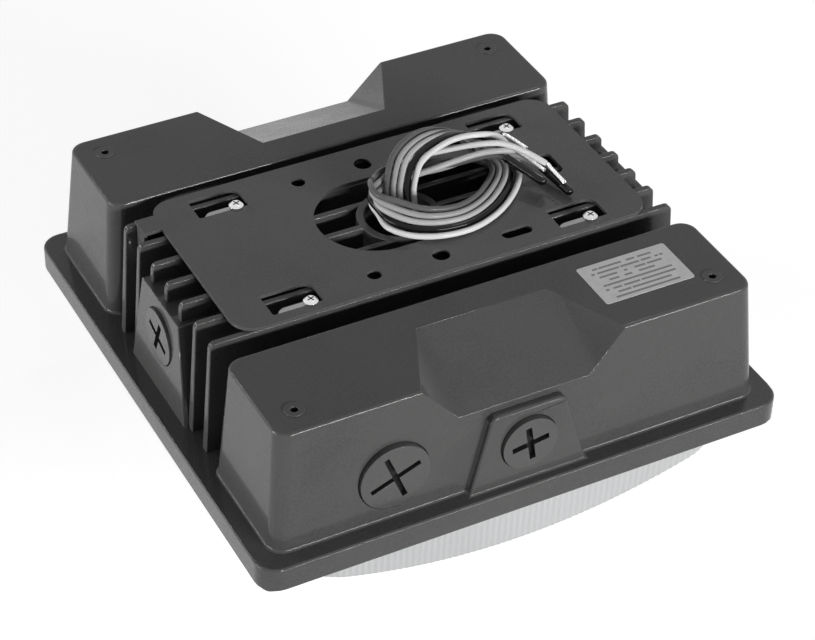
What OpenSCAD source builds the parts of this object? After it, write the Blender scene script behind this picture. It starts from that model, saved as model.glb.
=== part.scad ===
// LED canopy light, lens down, as it hangs under a ceiling.
// Origin: on the plane of the mounting plate's top face, above the middle of the fixture.
// X runs along the two driver blocks, Y from the front block to the rear one, Z up.

/* [Housing] */
// Side of the square flange
flange_w = 254; // [250:1:270]
// Height of the flange's side
flange_t = 12.1; // [11.6:0.1:16]
// Corner radius of the flange
flange_r = 10; // [8:1:14]
// Thickness of the deck that carries the fins and the light boards
base_t = 6; // [5.6:0.1:6.4]
// Wall of the skirt round the lens
skirt_wall = 4.5; // [4:0.1:4.8]
// Height of the fins above the flange
fin_h = 57.9; // [56:0.1:62]
// Distance between fins
fin_pitch = 15.1; // [14.8:0.1:15.4]
// Thickness of a fin at its top edge
fin_t = 3; // [2.6:0.1:3.2]
// How much thicker a fin is at its foot
fin_draft = 1.4; // [1:0.1:1.6]
// Distance from the flange's side to the ends of the fins' top edges
fin_rim = 13.5; // [12:0.5:16]
// How much longer a fin is at its foot
fin_lean = 7; // [4:0.5:9]
// Angle at which the round of the fins' corners meets their leaning ends
fin_turn = 4; // [3:0.5:6]
// Radius of the fins' upper corners
fin_corner = 3; // [2:0.5:6]
// Gap between the fins and the mounting plate
seat_gap = 0.1; // [0.05:0.05:0.2]

/* [Driver blocks] */
// Height of the blocks above the flange
block_h = 59; // [57:0.1:63]
// Distance from the flange's side to a block's end
block_end = 8.8; // [7:0.1:10]
// Distance from the flange's side to a block's outer face at its foot
block_rim = 9; // [7:0.5:11]
// Inner face of a block at its foot, from the middle of the fixture
block_in = 56.8; // [55.5:0.1:58]
// How far the outer faces lean in over the block's height
block_draft = 4.8; // [3.5:0.1:5.4]
// How far the inner face leans away from the fins
block_draft_in = 3; // [1.5:0.1:3.4]
// Wall of the blocks
block_wall = 4.5; // [4:0.1:5]
// Radius of the blocks' upright corners
block_r = 7; // [5:0.5:9]
// Rounding of the blocks' top edges
block_round = 1.2; // [0.8:0.1:2]

/* [Block recess] */
// Half width of the sloped face in the recess
recess_w = 31.5; // [29:0.5:34]
// Half width of the recess at the block's outer top edge
recess_mouth = 49; // [44:1:51]
// Distance from a block's inner face to the back edge of the recess
recess_back = 18.9; // [16.2:0.1:23]
// Height of the recess's lower edge above the flange
recess_z = 40; // [39:0.5:44]

/* [Conduit entries] */
// Radius of the small plugs' heads
plug_r = 13.1; // [12.4:0.1:13.4]
// Radius of the small plugs' threads
thread_r = 10.4; // [9.5:0.1:10.8]
// Radius of the large plug's head
big_plug_r = 16.4; // [16:0.1:17]
// Radius of the large plug's thread
big_thread_r = 13.2; // [12.5:0.1:14]
// Thickness of the plugs' heads
head_t = 4; // [3.4:0.1:4.6]
// Length of the plugs' threads
thread_l = 8; // [7:0.5:9]
// Wall of a plug's hollow thread
plug_wall = 2.4; // [1.8:0.1:3]
// Width of the cross slot in a small head
slot_w = 2.9; // [2.3:0.1:3.3]
// Width of the cross slot in the large head
big_slot_w = 2.3; // [1.8:0.1:3]
// Depth of the cross slots
slot_d = 3; // [2.4:0.1:3.2]
// Distance from the ends of the cross slots to the small heads' edge
slot_rim = 4.2; // [3.6:0.1:5]
// Gap round a plug's head
plug_gap = 0.4; // [0.3:0.1:0.8]
// Radial clearance of a thread in its hole
thread_gap = 0.06; // [0.03:0.01:0.1]
// Thickness of a sealing ring
ring_d = 1.8; // [1.6:0.1:2]
// Clearance round a sealing ring
ring_gap = 0.15; // [0.1:0.05:0.2]
// Height of the small entries above the flange
entry_z = 19.2; // [18:0.1:20]
// Height of the large entry above the flange
big_entry_z = 21; // [20:0.1:23]
// Place of the large entry along the block
big_entry_x = -62; // [-66:1:-58]
// Depth of the large plug's face behind the foot of its block's outer face
big_face_in = 0.2; // [0:0.1:0.8]
// Height of the small plugs' faces over the foot of their pads
small_face_out = 0.2; // [0:0.1:0.5]
// Distance from the flange's side to the foot of the raised pad under the recess
pad_rim = 5.2; // [5:0.1:6]
// How far the pad's face leans in
pad_lean = 2.6; // [2:0.1:3.4]
// Half width of the pad at its foot
pad_foot = 28.6; // [27:0.2:30]
// Half width of the pad at its top
pad_head = 18.8; // [17:0.1:19.4]
// Height of the pad
pad_h = 37; // [35:0.5:38]
// Radius of the pad's upper corners
pad_r = 4; // [2:0.5:5]

/* [End towers] */
// Height of the towers that carry the middle fins
tower_h = 48.8; // [47:0.2:50]
// Half width of a tower at its foot
tower_foot = 29; // [28:0.5:30]
// Half width of a tower at its top
tower_head = 19.5; // [18.5:0.5:21]
// Distance from the flange's side to a tower's outer face at its foot
tower_rim = 8; // [7.4:0.1:8.6]
// How far a tower's outer face leans in
tower_lean = 2.5; // [2:0.1:4]
// Depth of a tower along X
tower_d = 25; // [24:1:30]
// Height of the entries in the towers above the flange
tower_entry_z = 30; // [28:0.5:31]
// Depth of the tower plugs' faces behind the foot of the tower's outer face
tower_face_in = 0.6; // [0.2:0.1:1]

/* [Mounting plate] */
// Thickness of the mounting plate
plate_t = 1.6; // [1.2:0.1:2]
// How much shorter than the flange the plate is
plate_short = 51.2; // [48:0.2:56]
// Width of the plate
plate_w = 100.4; // [98:0.2:102]
// Corner radius of the plate
plate_r = 11; // [8:1:13]
// Middle of the locked plate along X
plate_x = 1.4; // [0.6:0.1:2.2]
// Middle of the locked plate along Y
plate_y = 3.2; // [2.8:0.1:3.4]
// Length of the large opening
opening_l = 93.6; // [90:0.2:96]
// Width of the large opening
opening_w = 52.6; // [50:0.2:54]
// Middle of the large opening, from the plate's middle
opening_x = 7.3; // [6:0.1:9]
// Length of a window over a hanging screw
window_l = 24; // [22:0.5:25]
// Width of a window
window_w = 14.2; // [13.6:0.2:15]
// Radius of a window's rear right corner
window_r = 5; // [2:0.5:6]
// How much less than the plate's length the windows' middles lie apart
window_dx_in = 62; // [59:0.2:65]
// Distance between the windows' middles along Y
window_dy = 76; // [74:0.2:77]
// Middle of the four windows, from the plate's middle along X
windows_x = -1; // [-2:0.1:0]
// Radius of the notch that a hanging screw sits in
notch_r = 2.4; // [2.2:0.1:2.6]
// Radius of the small box holes
box_r = 3.3; // [2.5:0.1:3.8]
// Radius of the large box holes
big_box_r = 4.1; // [3.9:0.1:4.5]
// Place of the small box holes, from the plate's middle
box_x = -32.2; // [-34:0.2:-30]
// Place of the large box holes, from the plate's middle
big_box_x = 0.5; // [-1:0.1:2]
// Place of the round-ended slots, from the plate's middle
slot_x = 38.5; // [36:0.5:40]
// Length of the round-ended slots
slot_l = 15; // [12:0.5:17]
// Width of the round-ended slots
slot_dw = 6; // [5:0.1:6.6]
// Distance between the box holes across the opening
box_dy = 75.6; // [74:0.2:77]
// How far the box holes' middle lies in front of the plate's middle
box_back = 1; // [0:0.1:1.6]
// Distance of the end slot from the plate's end
end_slot_in = 23.4; // [19.4:0.5:25.4]
// Length of the end slot
end_slot_l = 16; // [12:0.5:20]
// Width of the tab that carries the lock screw
tab_w = 8; // [7.8:0.1:8.2]
// Width of the ear that the tab hangs from
ear_w = 10.8; // [10:0.1:12]
// Distance from the flange's side to the tab's outer face
tab_rim = 18.4; // [17.6:0.1:18.8]
// How far the tab hangs below the plate's top
tab_h = 21; // [19:0.5:24]
// Middle of the tab along Y when the plate is locked
tab_y = 38.9; // [38.7:0.1:39]
// Travel of the fixture from locked to free
slide_y = 2.7; // [2.5:0.1:2.8]

/* [Screws] */
// Shank radius of the hanging screws
hang_r = 1.95; // [1.7:0.05:2.1]
// Head radius of the hanging screws
hang_head_r = 3.3; // [3.1:0.1:3.4]
// Head height of the hanging screws
hang_head_t = 2.4; // [2:0.1:3]
// How much less than the windows' middles the hanging screws lie apart along X
hang_dx_in = 2.8; // [0:0.2:4]
// Middle of the four hanging screws along X
hang_mid = 5; // [3:0.1:6]
// Distance of the hanging screws from the front edge of their windows
hang_in = 0.65; // [0.6:0.05:0.7]
// Radius of the milled pads that the hanging screws stand on
mill_r = 5; // [4.6:0.1:5.6]
// Length of the milled pads, from the screw to the far centre
mill_l = 10; // [8:0.5:12]
// Depth of the milled pads below the plate's underside
mill_z = 0.6; // [0.4:0.1:1]
// Depth of the lock screw below the plate's top
lock_z = 14.5; // [13:0.1:16]
// Shank radius of the lock screw
lock_r = 1.7; // [1.5:0.05:1.8]
// Head radius of the lock screw
lock_head_r = 3.2; // [3:0.1:3.4]
// Radius of the slot in the tab
lock_slot_r = 2; // [1.9:0.05:2.1]
// Place of the lock screw along Y
lock_y = 37.7; // [37.5:0.1:37.9]
// Distance from the flange's side to the ringed holes in the block tops
boss_rim = 26.8; // [25:0.2:29]
// Radius of the raised ring round such a hole
boss_r = 4.4; // [4:0.1:5]
// Height of the raised ring
boss_h = 0.5; // [0.3:0.1:0.8]
// Radius of the hole in a ring
boss_hole_r = 1.7; // [1.4:0.1:2.2]
// Depth of the holes in the block tops and under the screws
hole_l = 14; // [12:0.5:15]

/* [Wireway] */
// Outer radius of the wireway collar
collar_r = 19.5; // [19:0.5:20.5]
// Bore radius of the collar
collar_bore = 15.8; // [15:0.1:16.4]
// Depth of the seal's face below the plate's top
seal_z = 20; // [16:1:24]
// Thickness of the seal
seal_t = 12; // [8:1:16]
// Width of the ledge under the seal
seal_ledge = 1.6; // [1:0.1:2.4]

/* [Lens] */
// Distance from the flange's side to the lens wall at the left and right
lens_rim_x = 23; // [21:0.1:24.5]
// Distance from the flange's side to the lens wall at the front and rear
lens_rim_y = 7; // [6.6:0.1:8]
// Corner radius of the lens wall
lens_r = 18; // [14:0.5:24]
// Thickness of the lens wall
lens_t = 2.8; // [2.4:0.1:3.2]
// Thickness of the lens's lip
lip_t = 2.6; // [2.2:0.1:2.8]
// Corner radius of the lip
lip_r = 6; // [5.6:0.2:9]
// Clearance of the lip in the skirt
lip_gap = 0.5; // [0.3:0.1:0.8]
// Depth of the lens wall below the flange, at the middle of the front
lens_side = 27; // [22:0.5:34]
// Radius of the lens's domed bottom
dome_r = 316; // [290:2:360]
// Thickness of the lens gasket
gasket_t = 1.5; // [1.2:0.1:1.7]
// Width of the lens gasket
gasket_w = 7; // [6.8:0.1:7.4]
// Distance of the lens screws from the skirt
lens_screw_in = 4; // [3.6:0.1:4.2]
// Distance along Y from the skirt to the outer lens screws
lens_screw_end = 22.5; // [16:0.5:40]
// Shank radius of the small screws
small_r = 1.6; // [1.4:0.05:1.8]
// Head radius of the small screws
small_head_r = 2.9; // [2.6:0.1:3.2]
// Head height of the small screws
small_head_t = 1.8; // [1.5:0.1:1.9]

/* [Light engine] */
// Distance between a light board and the lens wall's outer face
board_gap = 6; // [4:0.5:10]
// Width of a light board
board_w = 94; // [88:1:96]
// Thickness of a light board
board_t = 1.6; // [1.2:0.1:2]
// Thickness of the thermal pad behind a board
pad_t = 0.3; // [0.2:0.1:0.5]
// Half width of the strip between the two boards
channel_w = 10; // [9:0.5:12]
// Distance of the board screws from the board's edges
board_screw_in = 4; // [3.6:0.1:5]
// Distance of the outer light packages from the board's edges
led_in = 9; // [8:0.5:12]
// Columns of light packages on a board
led_cols = 7; // [4:1:8]
// Rows of light packages on a board
led_rows = 7; // [4:1:8]
// Side of a light package
led_s = 3; // [2.6:0.1:3.4]
// Height of a light package
led_t = 0.8; // [0.6:0.1:1]
// Distance from the flange's side to the reflector sheet
refl_rim = 13.6; // [13.2:0.2:15]
// Corner radius of the reflector sheet
refl_r = 30; // [26:1:36]
// Thickness of the reflector sheet
refl_t = 0.8; // [0.6:0.1:1]
// Distance of the outer reflector screws from the lens wall
refl_screw_in = 14; // [12:0.5:20]
// Distance of the inner reflector screws from the strip between the boards
refl_screw_mid = 22; // [18:0.5:30]
// Margin round a board in the reflector
refl_gap = 1.5; // [1:0.1:2.5]
// Distance from a block's end wall to the driver's fixing tab
driver_end = 16.9; // [15:0.5:26]
// Gap between the driver and the outer wall of its room, where the plugs reach in
driver_room = 6.6; // [6.2:0.2:9]
// Gap between the driver and the inner wall of its room
driver_gap = 0.8; // [0.5:0.1:1.2]
// Height of the driver
driver_h = 26; // [22:0.5:27]
// Height of the driver's and protector's tops above the flange
driver_z = 26; // [24:0.5:28]
// Length of the surge protector
surge_l = 52; // [40:1:54]
// Room in front of and behind the surge protector
surge_room = 5.2; // [4.2:0.1:8]
// Height of the surge protector
surge_h = 22; // [18:0.5:24]
// Length of the fixing tabs at the ends of both
ear_l = 12; // [10:0.5:13]
// Thickness of those tabs
ear_t = 1.6; // [1.2:0.1:2]
// Radius of the posts that carry them
post_r = 4.5; // [4:0.1:5]
// Depth of the screws in those posts
post_screw = 7; // [6:0.5:8]
// Width of the wire groove in the deck
groove_w = 17; // [15:0.5:18]
// Depth of the wire groove
groove_d = 3.4; // [3:0.1:3.8]

/* [Leads and label] */
// Radius of a lead's insulation
lead_r = 1.4; // [1.2:0.1:1.4]
// Radius of an end cap
cap_r = 2.2; // [1.9:0.1:2.2]
// Gap between a lead's end and its strands or cap
end_gap = 0.25; // [0.2:0.05:0.3]
// Radius of a bundle of bare strands
strand_r = 0.95; // [0.7:0.05:1]
// Length of the label
label_l = 44.4; // [40:0.2:46]
// Width of the label
label_w = 26.7; // [24:0.1:28]
// Thickness of the label
label_t = 0.2; // [0.1:0.05:0.3]
// Distance of the label from the front block's end
label_end = 24.5; // [22:0.5:26]
// How far the label lies inside the middle of the block's top
label_back = 2.85; // [0:0.05:4]

/* [Hidden] */
$fn = 48;

// Overlap that fuses two shapes of one piece
fuse = 0.5;
// Reach of a cut past the surface that it opens
past = 2;
// Levels, from the plate's top face
z_fin = -plate_t - seat_gap;
z_flange = z_fin - fin_h;
z_deck = z_flange - base_t;
z_skirt = z_flange - flange_t;
z_block = z_flange + block_h;
z_lip = z_deck - gasket_t;
// Sizes that follow the flange
skirt_in = flange_w / 2 - skirt_wall;
block_l = flange_w - 2 * block_end;
block_out = flange_w / 2 - block_rim;
recess_in = block_in + recess_back;
pad_face = flange_w / 2 - pad_rim;
tower_out = flange_w / 2 - tower_rim;
big_face = block_out - big_face_in;
small_face = pad_face + small_face_out;
tower_face = tower_out - tower_face_in;
fin_l = flange_w - 2 * fin_rim;
boss_pitch = flange_w - 2 * boss_rim;
plate_l = flange_w - plate_short;
window_dx = plate_l - window_dx_in;
hang_dx = window_dx - hang_dx_in;
end_slot_x = plate_l / 2 - end_slot_in;
tab_x = flange_w / 2 - tab_rim;
label_x = block_l / 2 - label_end - label_l / 2;
lens_x = flange_w / 2 - lens_rim_x;
lens_y = flange_w / 2 - lens_rim_y;
lens_screw_dy = skirt_in - lens_screw_end;
board_l = lens_x - board_gap - channel_w;
refl_w = flange_w / 2 - refl_rim;
// Clearance under a screw's head and beside its shank
head_gap = 0.1;
shank_gap = 0.15;
// Room past a screw's tip in a blind hole, and wall that stays over the short blind holes
tip_gap = 0.5;
top_wall = 1;
// How deep the lens screws reach into the deck
lens_bite = base_t - top_wall - tip_gap;
// Rows of hanging screws, fixed by the windows of the locked plate
hang_y = [for (s = [-1, 1]) plate_y + s * window_dy / 2 - window_w / 2 + hang_in];
hang_x = [for (s = [-1, 1]) hang_mid + s * hang_dx / 2];
// Room inside the blocks
bay_x = block_l / 2 - block_draft - block_wall;
bay_in = block_in + block_draft_in + block_wall;
bay_out = block_out - block_draft - block_wall;
bay_top = z_block - block_wall;
driver_l = 2 * (bay_x - ear_l - driver_end);
driver_w = bay_out - bay_in - driver_gap - driver_room;
driver_y = bay_in + driver_gap + driver_w / 2;
surge_w = bay_out - bay_in - 2 * surge_room;
surge_y = (bay_in + bay_out) / 2;
// Slope of the recess's floor
recess_out = block_out - block_draft * recess_z / block_h;
recess_fall = (block_h - recess_z) / (recess_out - recess_in);
// Middle of a light board along X
board_x = channel_w + board_l / 2;
// Places of the screws in a board, from its middle
board_fix = [for (i = [-1, 1], j = [-1, 1])
    [i * (board_l / 2 - board_screw_in), j * (board_w / 2 - board_screw_in)]];
z_board = z_deck - pad_t;
z_led = z_board - board_t;
// Places of the screws in the reflector and in the lens
refl_fix = [for (i = [-1, 1], x = [lens_x - refl_screw_in, channel_w + refl_screw_mid], j = [-1, 1])
    [i * x, j * (board_w / 2 + refl_gap + bay_in) / 2]];
lens_fix = [for (i = [-1, 1], j = [-1:1]) [i * (skirt_in - lens_screw_in), j * lens_screw_dy]];
// Distance of the fixing posts from the middle of the driver and of the surge protector
driver_fix = driver_l / 2 + ear_l / 2;
surge_fix = surge_l / 2 + ear_l / 2;
z_ear = z_flange + driver_z - ear_t;
// Wall of the bosses round the threaded holes
boss_wall = 4;
// Depth and height of the boss behind the tab
lock_boss_d = 8;
lock_boss_h = 9;
// Depth of the ring's groove under a plug's head
ring_room = ring_d + 2 * ring_gap;

// Way that the five leads share, from the seal up and once round the loop, for the middle lead
loop_way = [[3, 3, -seal_z], [3, 3, -17], [3, 3, -10], [3, 4, -1], [4.5, 8.5, 5], [8, 13.5, 9], [12.5, 18, 12.5],
    [18.5, 21, 15], [26.5, 23.5, 16], [36, 24.5, 15.5], [45.5, 23, 13.5], [54.5, 17, 7.5], [57.3, 10, 4.8], [55.5, 2.5, 3.6],
    [48.5, -6.5, 3.6], [36.5, -16, 4], [23, -21.5, 4.6], [10, -21.5, 5.4], [-0.5, -17, 6], [-8, -9, 7], [-11, 0, 7.5]];
// Step from one lead to the next at each of those points
loop_step = [[2.9, -1, 0], [2.9, -1, 0], [2.9, -1, 0], [2.7, -1.4, 0], [2.6, -1.6, 0], [2.5, -1.8, -0.5], [2.2, -2.2, -0.6],
    [1.4, -2.7, -0.8], [0.5, -3, -0.6], [0.3, -3.2, 0.6], [0.6, -3.2, 1.8], [2.4, 0.1, 2.3], [3.1, 0.3, 0.5],
    [3, -0.9, 0], [2.4, -2.1, -0.4], [1.5, -2.7, -0.8], [0.4, -2.8, -1.3], [-0.8, -2.6, -1.6], [-1.8, -1.8, -2],
    [-1.4, -0.5, -2.8], [0.4, 0.4, -3.1]];
// Ways of the leads from there to their ends
dim_plus_way = [[-9.4, 10.5, 11.6], [-3.5, 18.9, 7.4], [4.5, 23.5, 6.8], [13.5, 22.5, 6], [23, 19, 5.6], [34, 15, 5.8],
    [43, 12.2, 7.6], [49.5, 10, 8.8], [54, 7.2, 9.2], [57, 2.2, 9]];
dim_minus_way = [[-9, 9.8, 8.4], [-1.1, 17.1, 6.1], [4.5, 20.5, 4.8], [13, 20.5, 3], [23, 19, 2.3], [34, 17.5, 3],
    [44, 15.7, 5.8], [52, 13, 8.2], [58.5, 8.3, 8.5], [64.5, 3.2, 7.4], [69.4, -1.8, 5.4], [71, -6.3, 4.6]];
ground_way = [[-6.8, 8.8, 6], [-0.6, 15.2, 3], [6, 17.5, 3.2], [13, 15.5, 5], [22, 12.5, 7.8], [34, 11, 10.2],
    [46, 9.3, 11.8], [54.5, 6.7, 12.2], [61.5, 5.4, 11]];
line_way = [[-9.6, 9.8, 4.2], [-2.7, 18.4, 3.7], [5, 27, 4.2], [19, 32, 5], [36, 31.7, 5.6], [51, 27.5, 6.3],
    [65.5, 24.3, 6.5]];
neutral_way = [[-8.9, 10, 1.1], [-2, 18.5, 0.6], [7, 25.5, 2], [18, 26.5, 5.5], [32, 20.5, 10], [45, 15, 13],
    [55.8, 8.1, 14.9], [63.5, -0.2, 13.2], [70.5, -7.5, 9.2]];
// Ways of the bare ends of three leads, and tips of the caps on the other two
line_strands = [[67.4, 22.4, 6.6], [68.7, 18.5, 6.4], [71, 11, 5.8]];
ground_strands = [[63.3, 3.6, 10.4], [65.2, -0.5, 9.5], [68.2, -10, 7.8]];
neutral_strands = [[71.3, -11, 8.3], [72.1, -21.3, 7.2]];
dim_plus_tip = [65.2, -16.5, 6];
dim_minus_tip = [74.2, -24.6, 2.6];

// Points of a smooth curve through the points p, three to a span
function curve(p, n = 3) =
    let (m = len(p), q = concat([2 * p[0] - p[1]], p, [2 * p[m - 1] - p[m - 2]]))
    concat([for (i = [1:m - 1], j = [0:n - 1])
        let (t = j / n, a = q[i - 1], b = q[i], c = q[i + 1], d = q[i + 2])
        (2 * b + (c - a) * t + (2 * a - 5 * b + 4 * c - d) * t * t + (3 * b - a - 3 * c + d) * t * t * t) / 2],
        [p[m - 1]]);

// Curve of the lead that lies k steps from the middle one
function lead_curve(k, way) = curve(concat([for (i = [0:len(loop_way) - 1]) loop_way[i] + k * loop_step[i]], way));

function unit(v) = v / norm(v);

// Side vectors carried along the headings t without twist
function carried(t, i, u) = i >= len(t) ? [] : let (w = unit(u - t[i] * (u * t[i]))) concat([w], carried(t, i + 1, w));

// Least gap of a lead to itself, between points more than three diameters apart along it
function self_gap(p) = min([for (i = [0:len(p) - 1], j = [i + 6:1:len(p) - 1]) norm(p[i] - p[j])]) - 2 * lead_r;

// Points of an arc about c, from angle a to angle b
function arc(c, r, a, b, n = 6) =
    [for (i = [0:n]) c + r * [cos(a + (b - a) * i / n), sin(a + (b - a) * i / n)]];

// Outline of a rectangle about c, l by w, with a radius for each corner, anticlockwise from the first quadrant
function rounded(c, l, w, r) = concat(
    arc(c + [l / 2 - r[0], w / 2 - r[0]], r[0], 0, 90),
    arc(c + [r[1] - l / 2, w / 2 - r[1]], r[1], 90, 180),
    arc(c + [r[2] - l / 2, r[2] - w / 2], r[2], 180, 270),
    arc(c + [l / 2 - r[3], r[3] - w / 2], r[3], 270, 360));

function even(r) = [r, r, r, r];

// Upright slab of an outline between two levels
module slab(points, low, high) {
    translate([0, 0, low]) linear_extrude(high - low) polygon(points);
}

// Solid through rings of as many points each, from the lowest to the highest
module loft(rings) {
    n = len(rings[0]);
    m = len(rings);
    side = [for (k = [0:m - 2], i = [0:n - 1]) each [
        [k * n + i, k * n + n + (i + 1) % n, k * n + (i + 1) % n],
        [k * n + i, k * n + n + i, k * n + n + (i + 1) % n]]];
    polyhedron([for (r = rings) each r],
        concat([[for (i = [0:n - 1]) i]], side, [[for (i = [n - 1:-1:0]) (m - 1) * n + i]]));
}

// Round tube of radius r along the points p
module tube(p, r, sides = 6) {
    m = len(p) - 1;
    t = [for (i = [0:m]) unit(p[min(i + 1, m)] - p[max(i - 1, 0)])];
    u = carried(t, 0, [1, 0.1, 0.1]);
    loft([for (i = [0:m]) [for (k = [0:sides - 1])
        p[i] + r * (cos(360 * k / sides) * u[i] + sin(360 * k / sides) * cross(t[i], u[i]))]]);
}

// Outline of a driver block at height h above the flange, drawn in by d
function block_ring(h, d = 0) =
    let (lean = block_draft * h / block_h, x = block_l - 2 * lean - 2 * d,
        y0 = block_in + block_draft_in * h / block_h + d, y1 = block_out - lean - d)
    [for (p = rounded([0, (y0 + y1) / 2], x, y1 - y0, even(block_r))) [p[0], p[1], z_flange + h]];

// Block on the +Y side, with its top edges rounded by two chamfers
module block() {
    loft([block_ring(-fuse), block_ring(block_h - block_round),
        block_ring(block_h - block_round * 0.3, block_round * 0.3), block_ring(block_h, block_round)]);
}

// What the recess takes from the outer top edge of the block on the +Y side
module recess() {
    rise = past;
    far = block_out + past;
    a = [recess_w, recess_in - rise / recess_fall, z_block + rise];
    c = [recess_w, far, z_block - recess_fall * (far - recess_in)];
    b = [recess_w + (recess_mouth - recess_w) * (far - a[1]) / (block_out - block_draft - recess_in),
        far, z_block + rise];
    polyhedron([[-a[0], a[1], a[2]], a, b, [-b[0], b[1], b[2]], c, [-c[0], c[1], c[2]]],
        [[0, 1, 4, 5], [3, 2, 1, 0], [5, 4, 2, 3], [1, 2, 4], [0, 5, 3]]);
}

// Room inside the block on the +Y side: full height at the ends, and under the slope in the middle
module bay() {
    drop = block_wall * sqrt(1 + pow(recess_fall, 2));
    low = z_flange + recess_z - drop;
    turn = recess_in + (z_block - drop - bay_top) / recess_fall;
    for (s = [-1, 1])
        translate([s > 0 ? recess_mouth + past : -bay_x, bay_in, z_deck - fuse])
            cube([bay_x - recess_mouth - past, bay_out - bay_in, bay_top - z_deck + fuse]);
    rotate([90, 0, 90]) translate([0, 0, -recess_mouth - past - fuse])
        linear_extrude(2 * (recess_mouth + past + fuse))
            polygon([[bay_in, z_deck - fuse], [bay_out, z_deck - fuse], [bay_out, low],
                [recess_out, low], [turn, bay_top], [bay_in, bay_top]]);
}

// Raised pad round the small entry of the block on the +Y side
module entry_pad() {
    tilt = atan((pad_foot - pad_head) / pad_h);
    inside = bay_out + fuse;
    intersection() {
        rotate([90, 0, 180]) translate([0, 0, inside]) linear_extrude(pad_face - inside)
            polygon(concat([[-pad_foot, z_flange - fuse], [pad_foot, z_flange - fuse]],
                arc([pad_head - pad_r, z_flange + pad_h - pad_r], pad_r, tilt, 90),
                arc([pad_r - pad_head, z_flange + pad_h - pad_r], pad_r, 90, 180 - tilt)));
        rotate([90, 0, 90]) translate([0, 0, -pad_foot]) linear_extrude(2 * pad_foot)
            polygon([[inside, z_flange - fuse], [pad_face, z_flange - fuse],
                [pad_face - pad_lean, z_flange + pad_h], [inside, z_flange + pad_h]]);
    }
}

// The seven fins between the blocks
module fins() {
    half = fin_l / 2;
    intersection() {
        for (i = [-3:3]) rotate([90, 0, 90]) translate([i * fin_pitch, 0, -half - fin_lean])
            linear_extrude(2 * (half + fin_lean))
                polygon([[-(fin_t + fin_draft) / 2, z_flange - fuse], [(fin_t + fin_draft) / 2, z_flange - fuse],
                    [fin_t / 2, z_fin], [-fin_t / 2, z_fin]]);
        rotate([90, 0, 0]) translate([0, 0, -3 * fin_pitch - fin_t - fin_draft])
            linear_extrude(6 * fin_pitch + 2 * (fin_t + fin_draft))
            polygon(concat([[-half - fin_lean / 2, z_flange - fuse], [half + fin_lean / 2, z_flange - fuse]],
                arc([half - fin_corner, z_fin - fin_corner], fin_corner, fin_turn, 90),
                arc([fin_corner - half, z_fin - fin_corner], fin_corner, 90, 180 - fin_turn)));
    }
}

// End tower on the +X side, which carries the middle fins and an entry
module tower() {
    intersection() {
        rotate([90, 0, 90]) translate([0, 0, tower_out - tower_d]) linear_extrude(tower_d)
            polygon([[-tower_foot, z_flange - fuse], [tower_foot, z_flange - fuse],
                [tower_head, z_flange + tower_h], [-tower_head, z_flange + tower_h]]);
        rotate([90, 0, 0]) translate([0, 0, -tower_foot]) linear_extrude(2 * tower_foot)
            polygon([[tower_out - tower_d, z_flange - fuse], [tower_out, z_flange - fuse],
                [tower_out - tower_lean, z_flange + tower_h], [tower_out - tower_d, z_flange + tower_h]]);
    }
}

// Places an entry's shapes, whose axis is +Z here and whose face lies at z = 0
module at_entry(which) {
    if (which == "front_large")
        translate([big_entry_x, -big_face, z_flange + big_entry_z]) rotate([90, 0, 0]) children();
    if (which == "front_small") translate([0, -small_face, z_flange + entry_z]) rotate([90, 0, 0]) children();
    if (which == "rear_small") translate([0, small_face, z_flange + entry_z]) rotate([-90, 0, 0]) children();
    if (which == "left") translate([-tower_face, 0, z_flange + tower_entry_z]) rotate([0, -90, 0]) children();
    if (which == "right") translate([tower_face, 0, z_flange + tower_entry_z]) rotate([0, 90, 0]) children();
}

ENTRIES = ["front_large", "front_small", "rear_small", "left", "right"];
function head_of(which) = which == "front_large" ? big_plug_r : plug_r;
// Angle at which each plug's cross came to rest
function turn_of(which) = [22, 9.6, 64, -23, 41][search([which], ENTRIES)[0]];
function thread_of(which) = which == "front_large" ? big_thread_r : thread_r;

// Boss inside the wall that holds an entry's thread
module entry_boss(which) {
    at_entry(which) translate([0, 0, -head_t - ring_room - thread_l])
        cylinder(r = thread_of(which) + boss_wall, h = thread_l + ring_room + head_t / 2);
}

// What an entry takes from the wall: seat, groove for the ring and threaded hole
module entry_hole(which) {
    r = thread_of(which);
    at_entry(which) {
        translate([0, 0, -head_t - head_gap])
            cylinder(r = head_of(which) + plug_gap, h = 2 * head_t + head_gap);
        translate([0, 0, -head_t - head_gap - ring_room])
            cylinder(r = r + ring_d + 2 * ring_gap, h = ring_room + fuse);
        translate([0, 0, -head_t - ring_room - thread_l - past])
            cylinder(r = r + thread_gap, h = thread_l + past + ring_room);
    }
}

// Plug with its head, cross slot and hollow thread
module plug(which) {
    r = thread_of(which);
    reach = 2 * (head_of(which) - slot_rim);
    w = which == "front_large" ? big_slot_w : slot_w;
    at_entry(which) difference() {
        union() {
            translate([0, 0, -head_t]) cylinder(r = head_of(which), h = head_t);
            translate([0, 0, -head_t - ring_room - thread_l]) cylinder(r = r, h = thread_l + ring_room + fuse);
        }
        for (a = [0, 90]) rotate([0, 0, turn_of(which) + a]) translate([-reach / 2, -w / 2, -slot_d])
            cube([reach, w, slot_d + past]);
        translate([0, 0, -head_t - ring_room - thread_l - past])
            cylinder(r = r - plug_wall, h = thread_l + ring_room + past);
    }
}

// Sealing ring in its groove under a head
module ring(which) {
    at_entry(which) translate([0, 0, -head_t - head_gap - ring_room / 2])
        rotate_extrude() translate([thread_of(which) + ring_gap + ring_d / 2, 0]) circle(d = ring_d);
}

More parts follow.
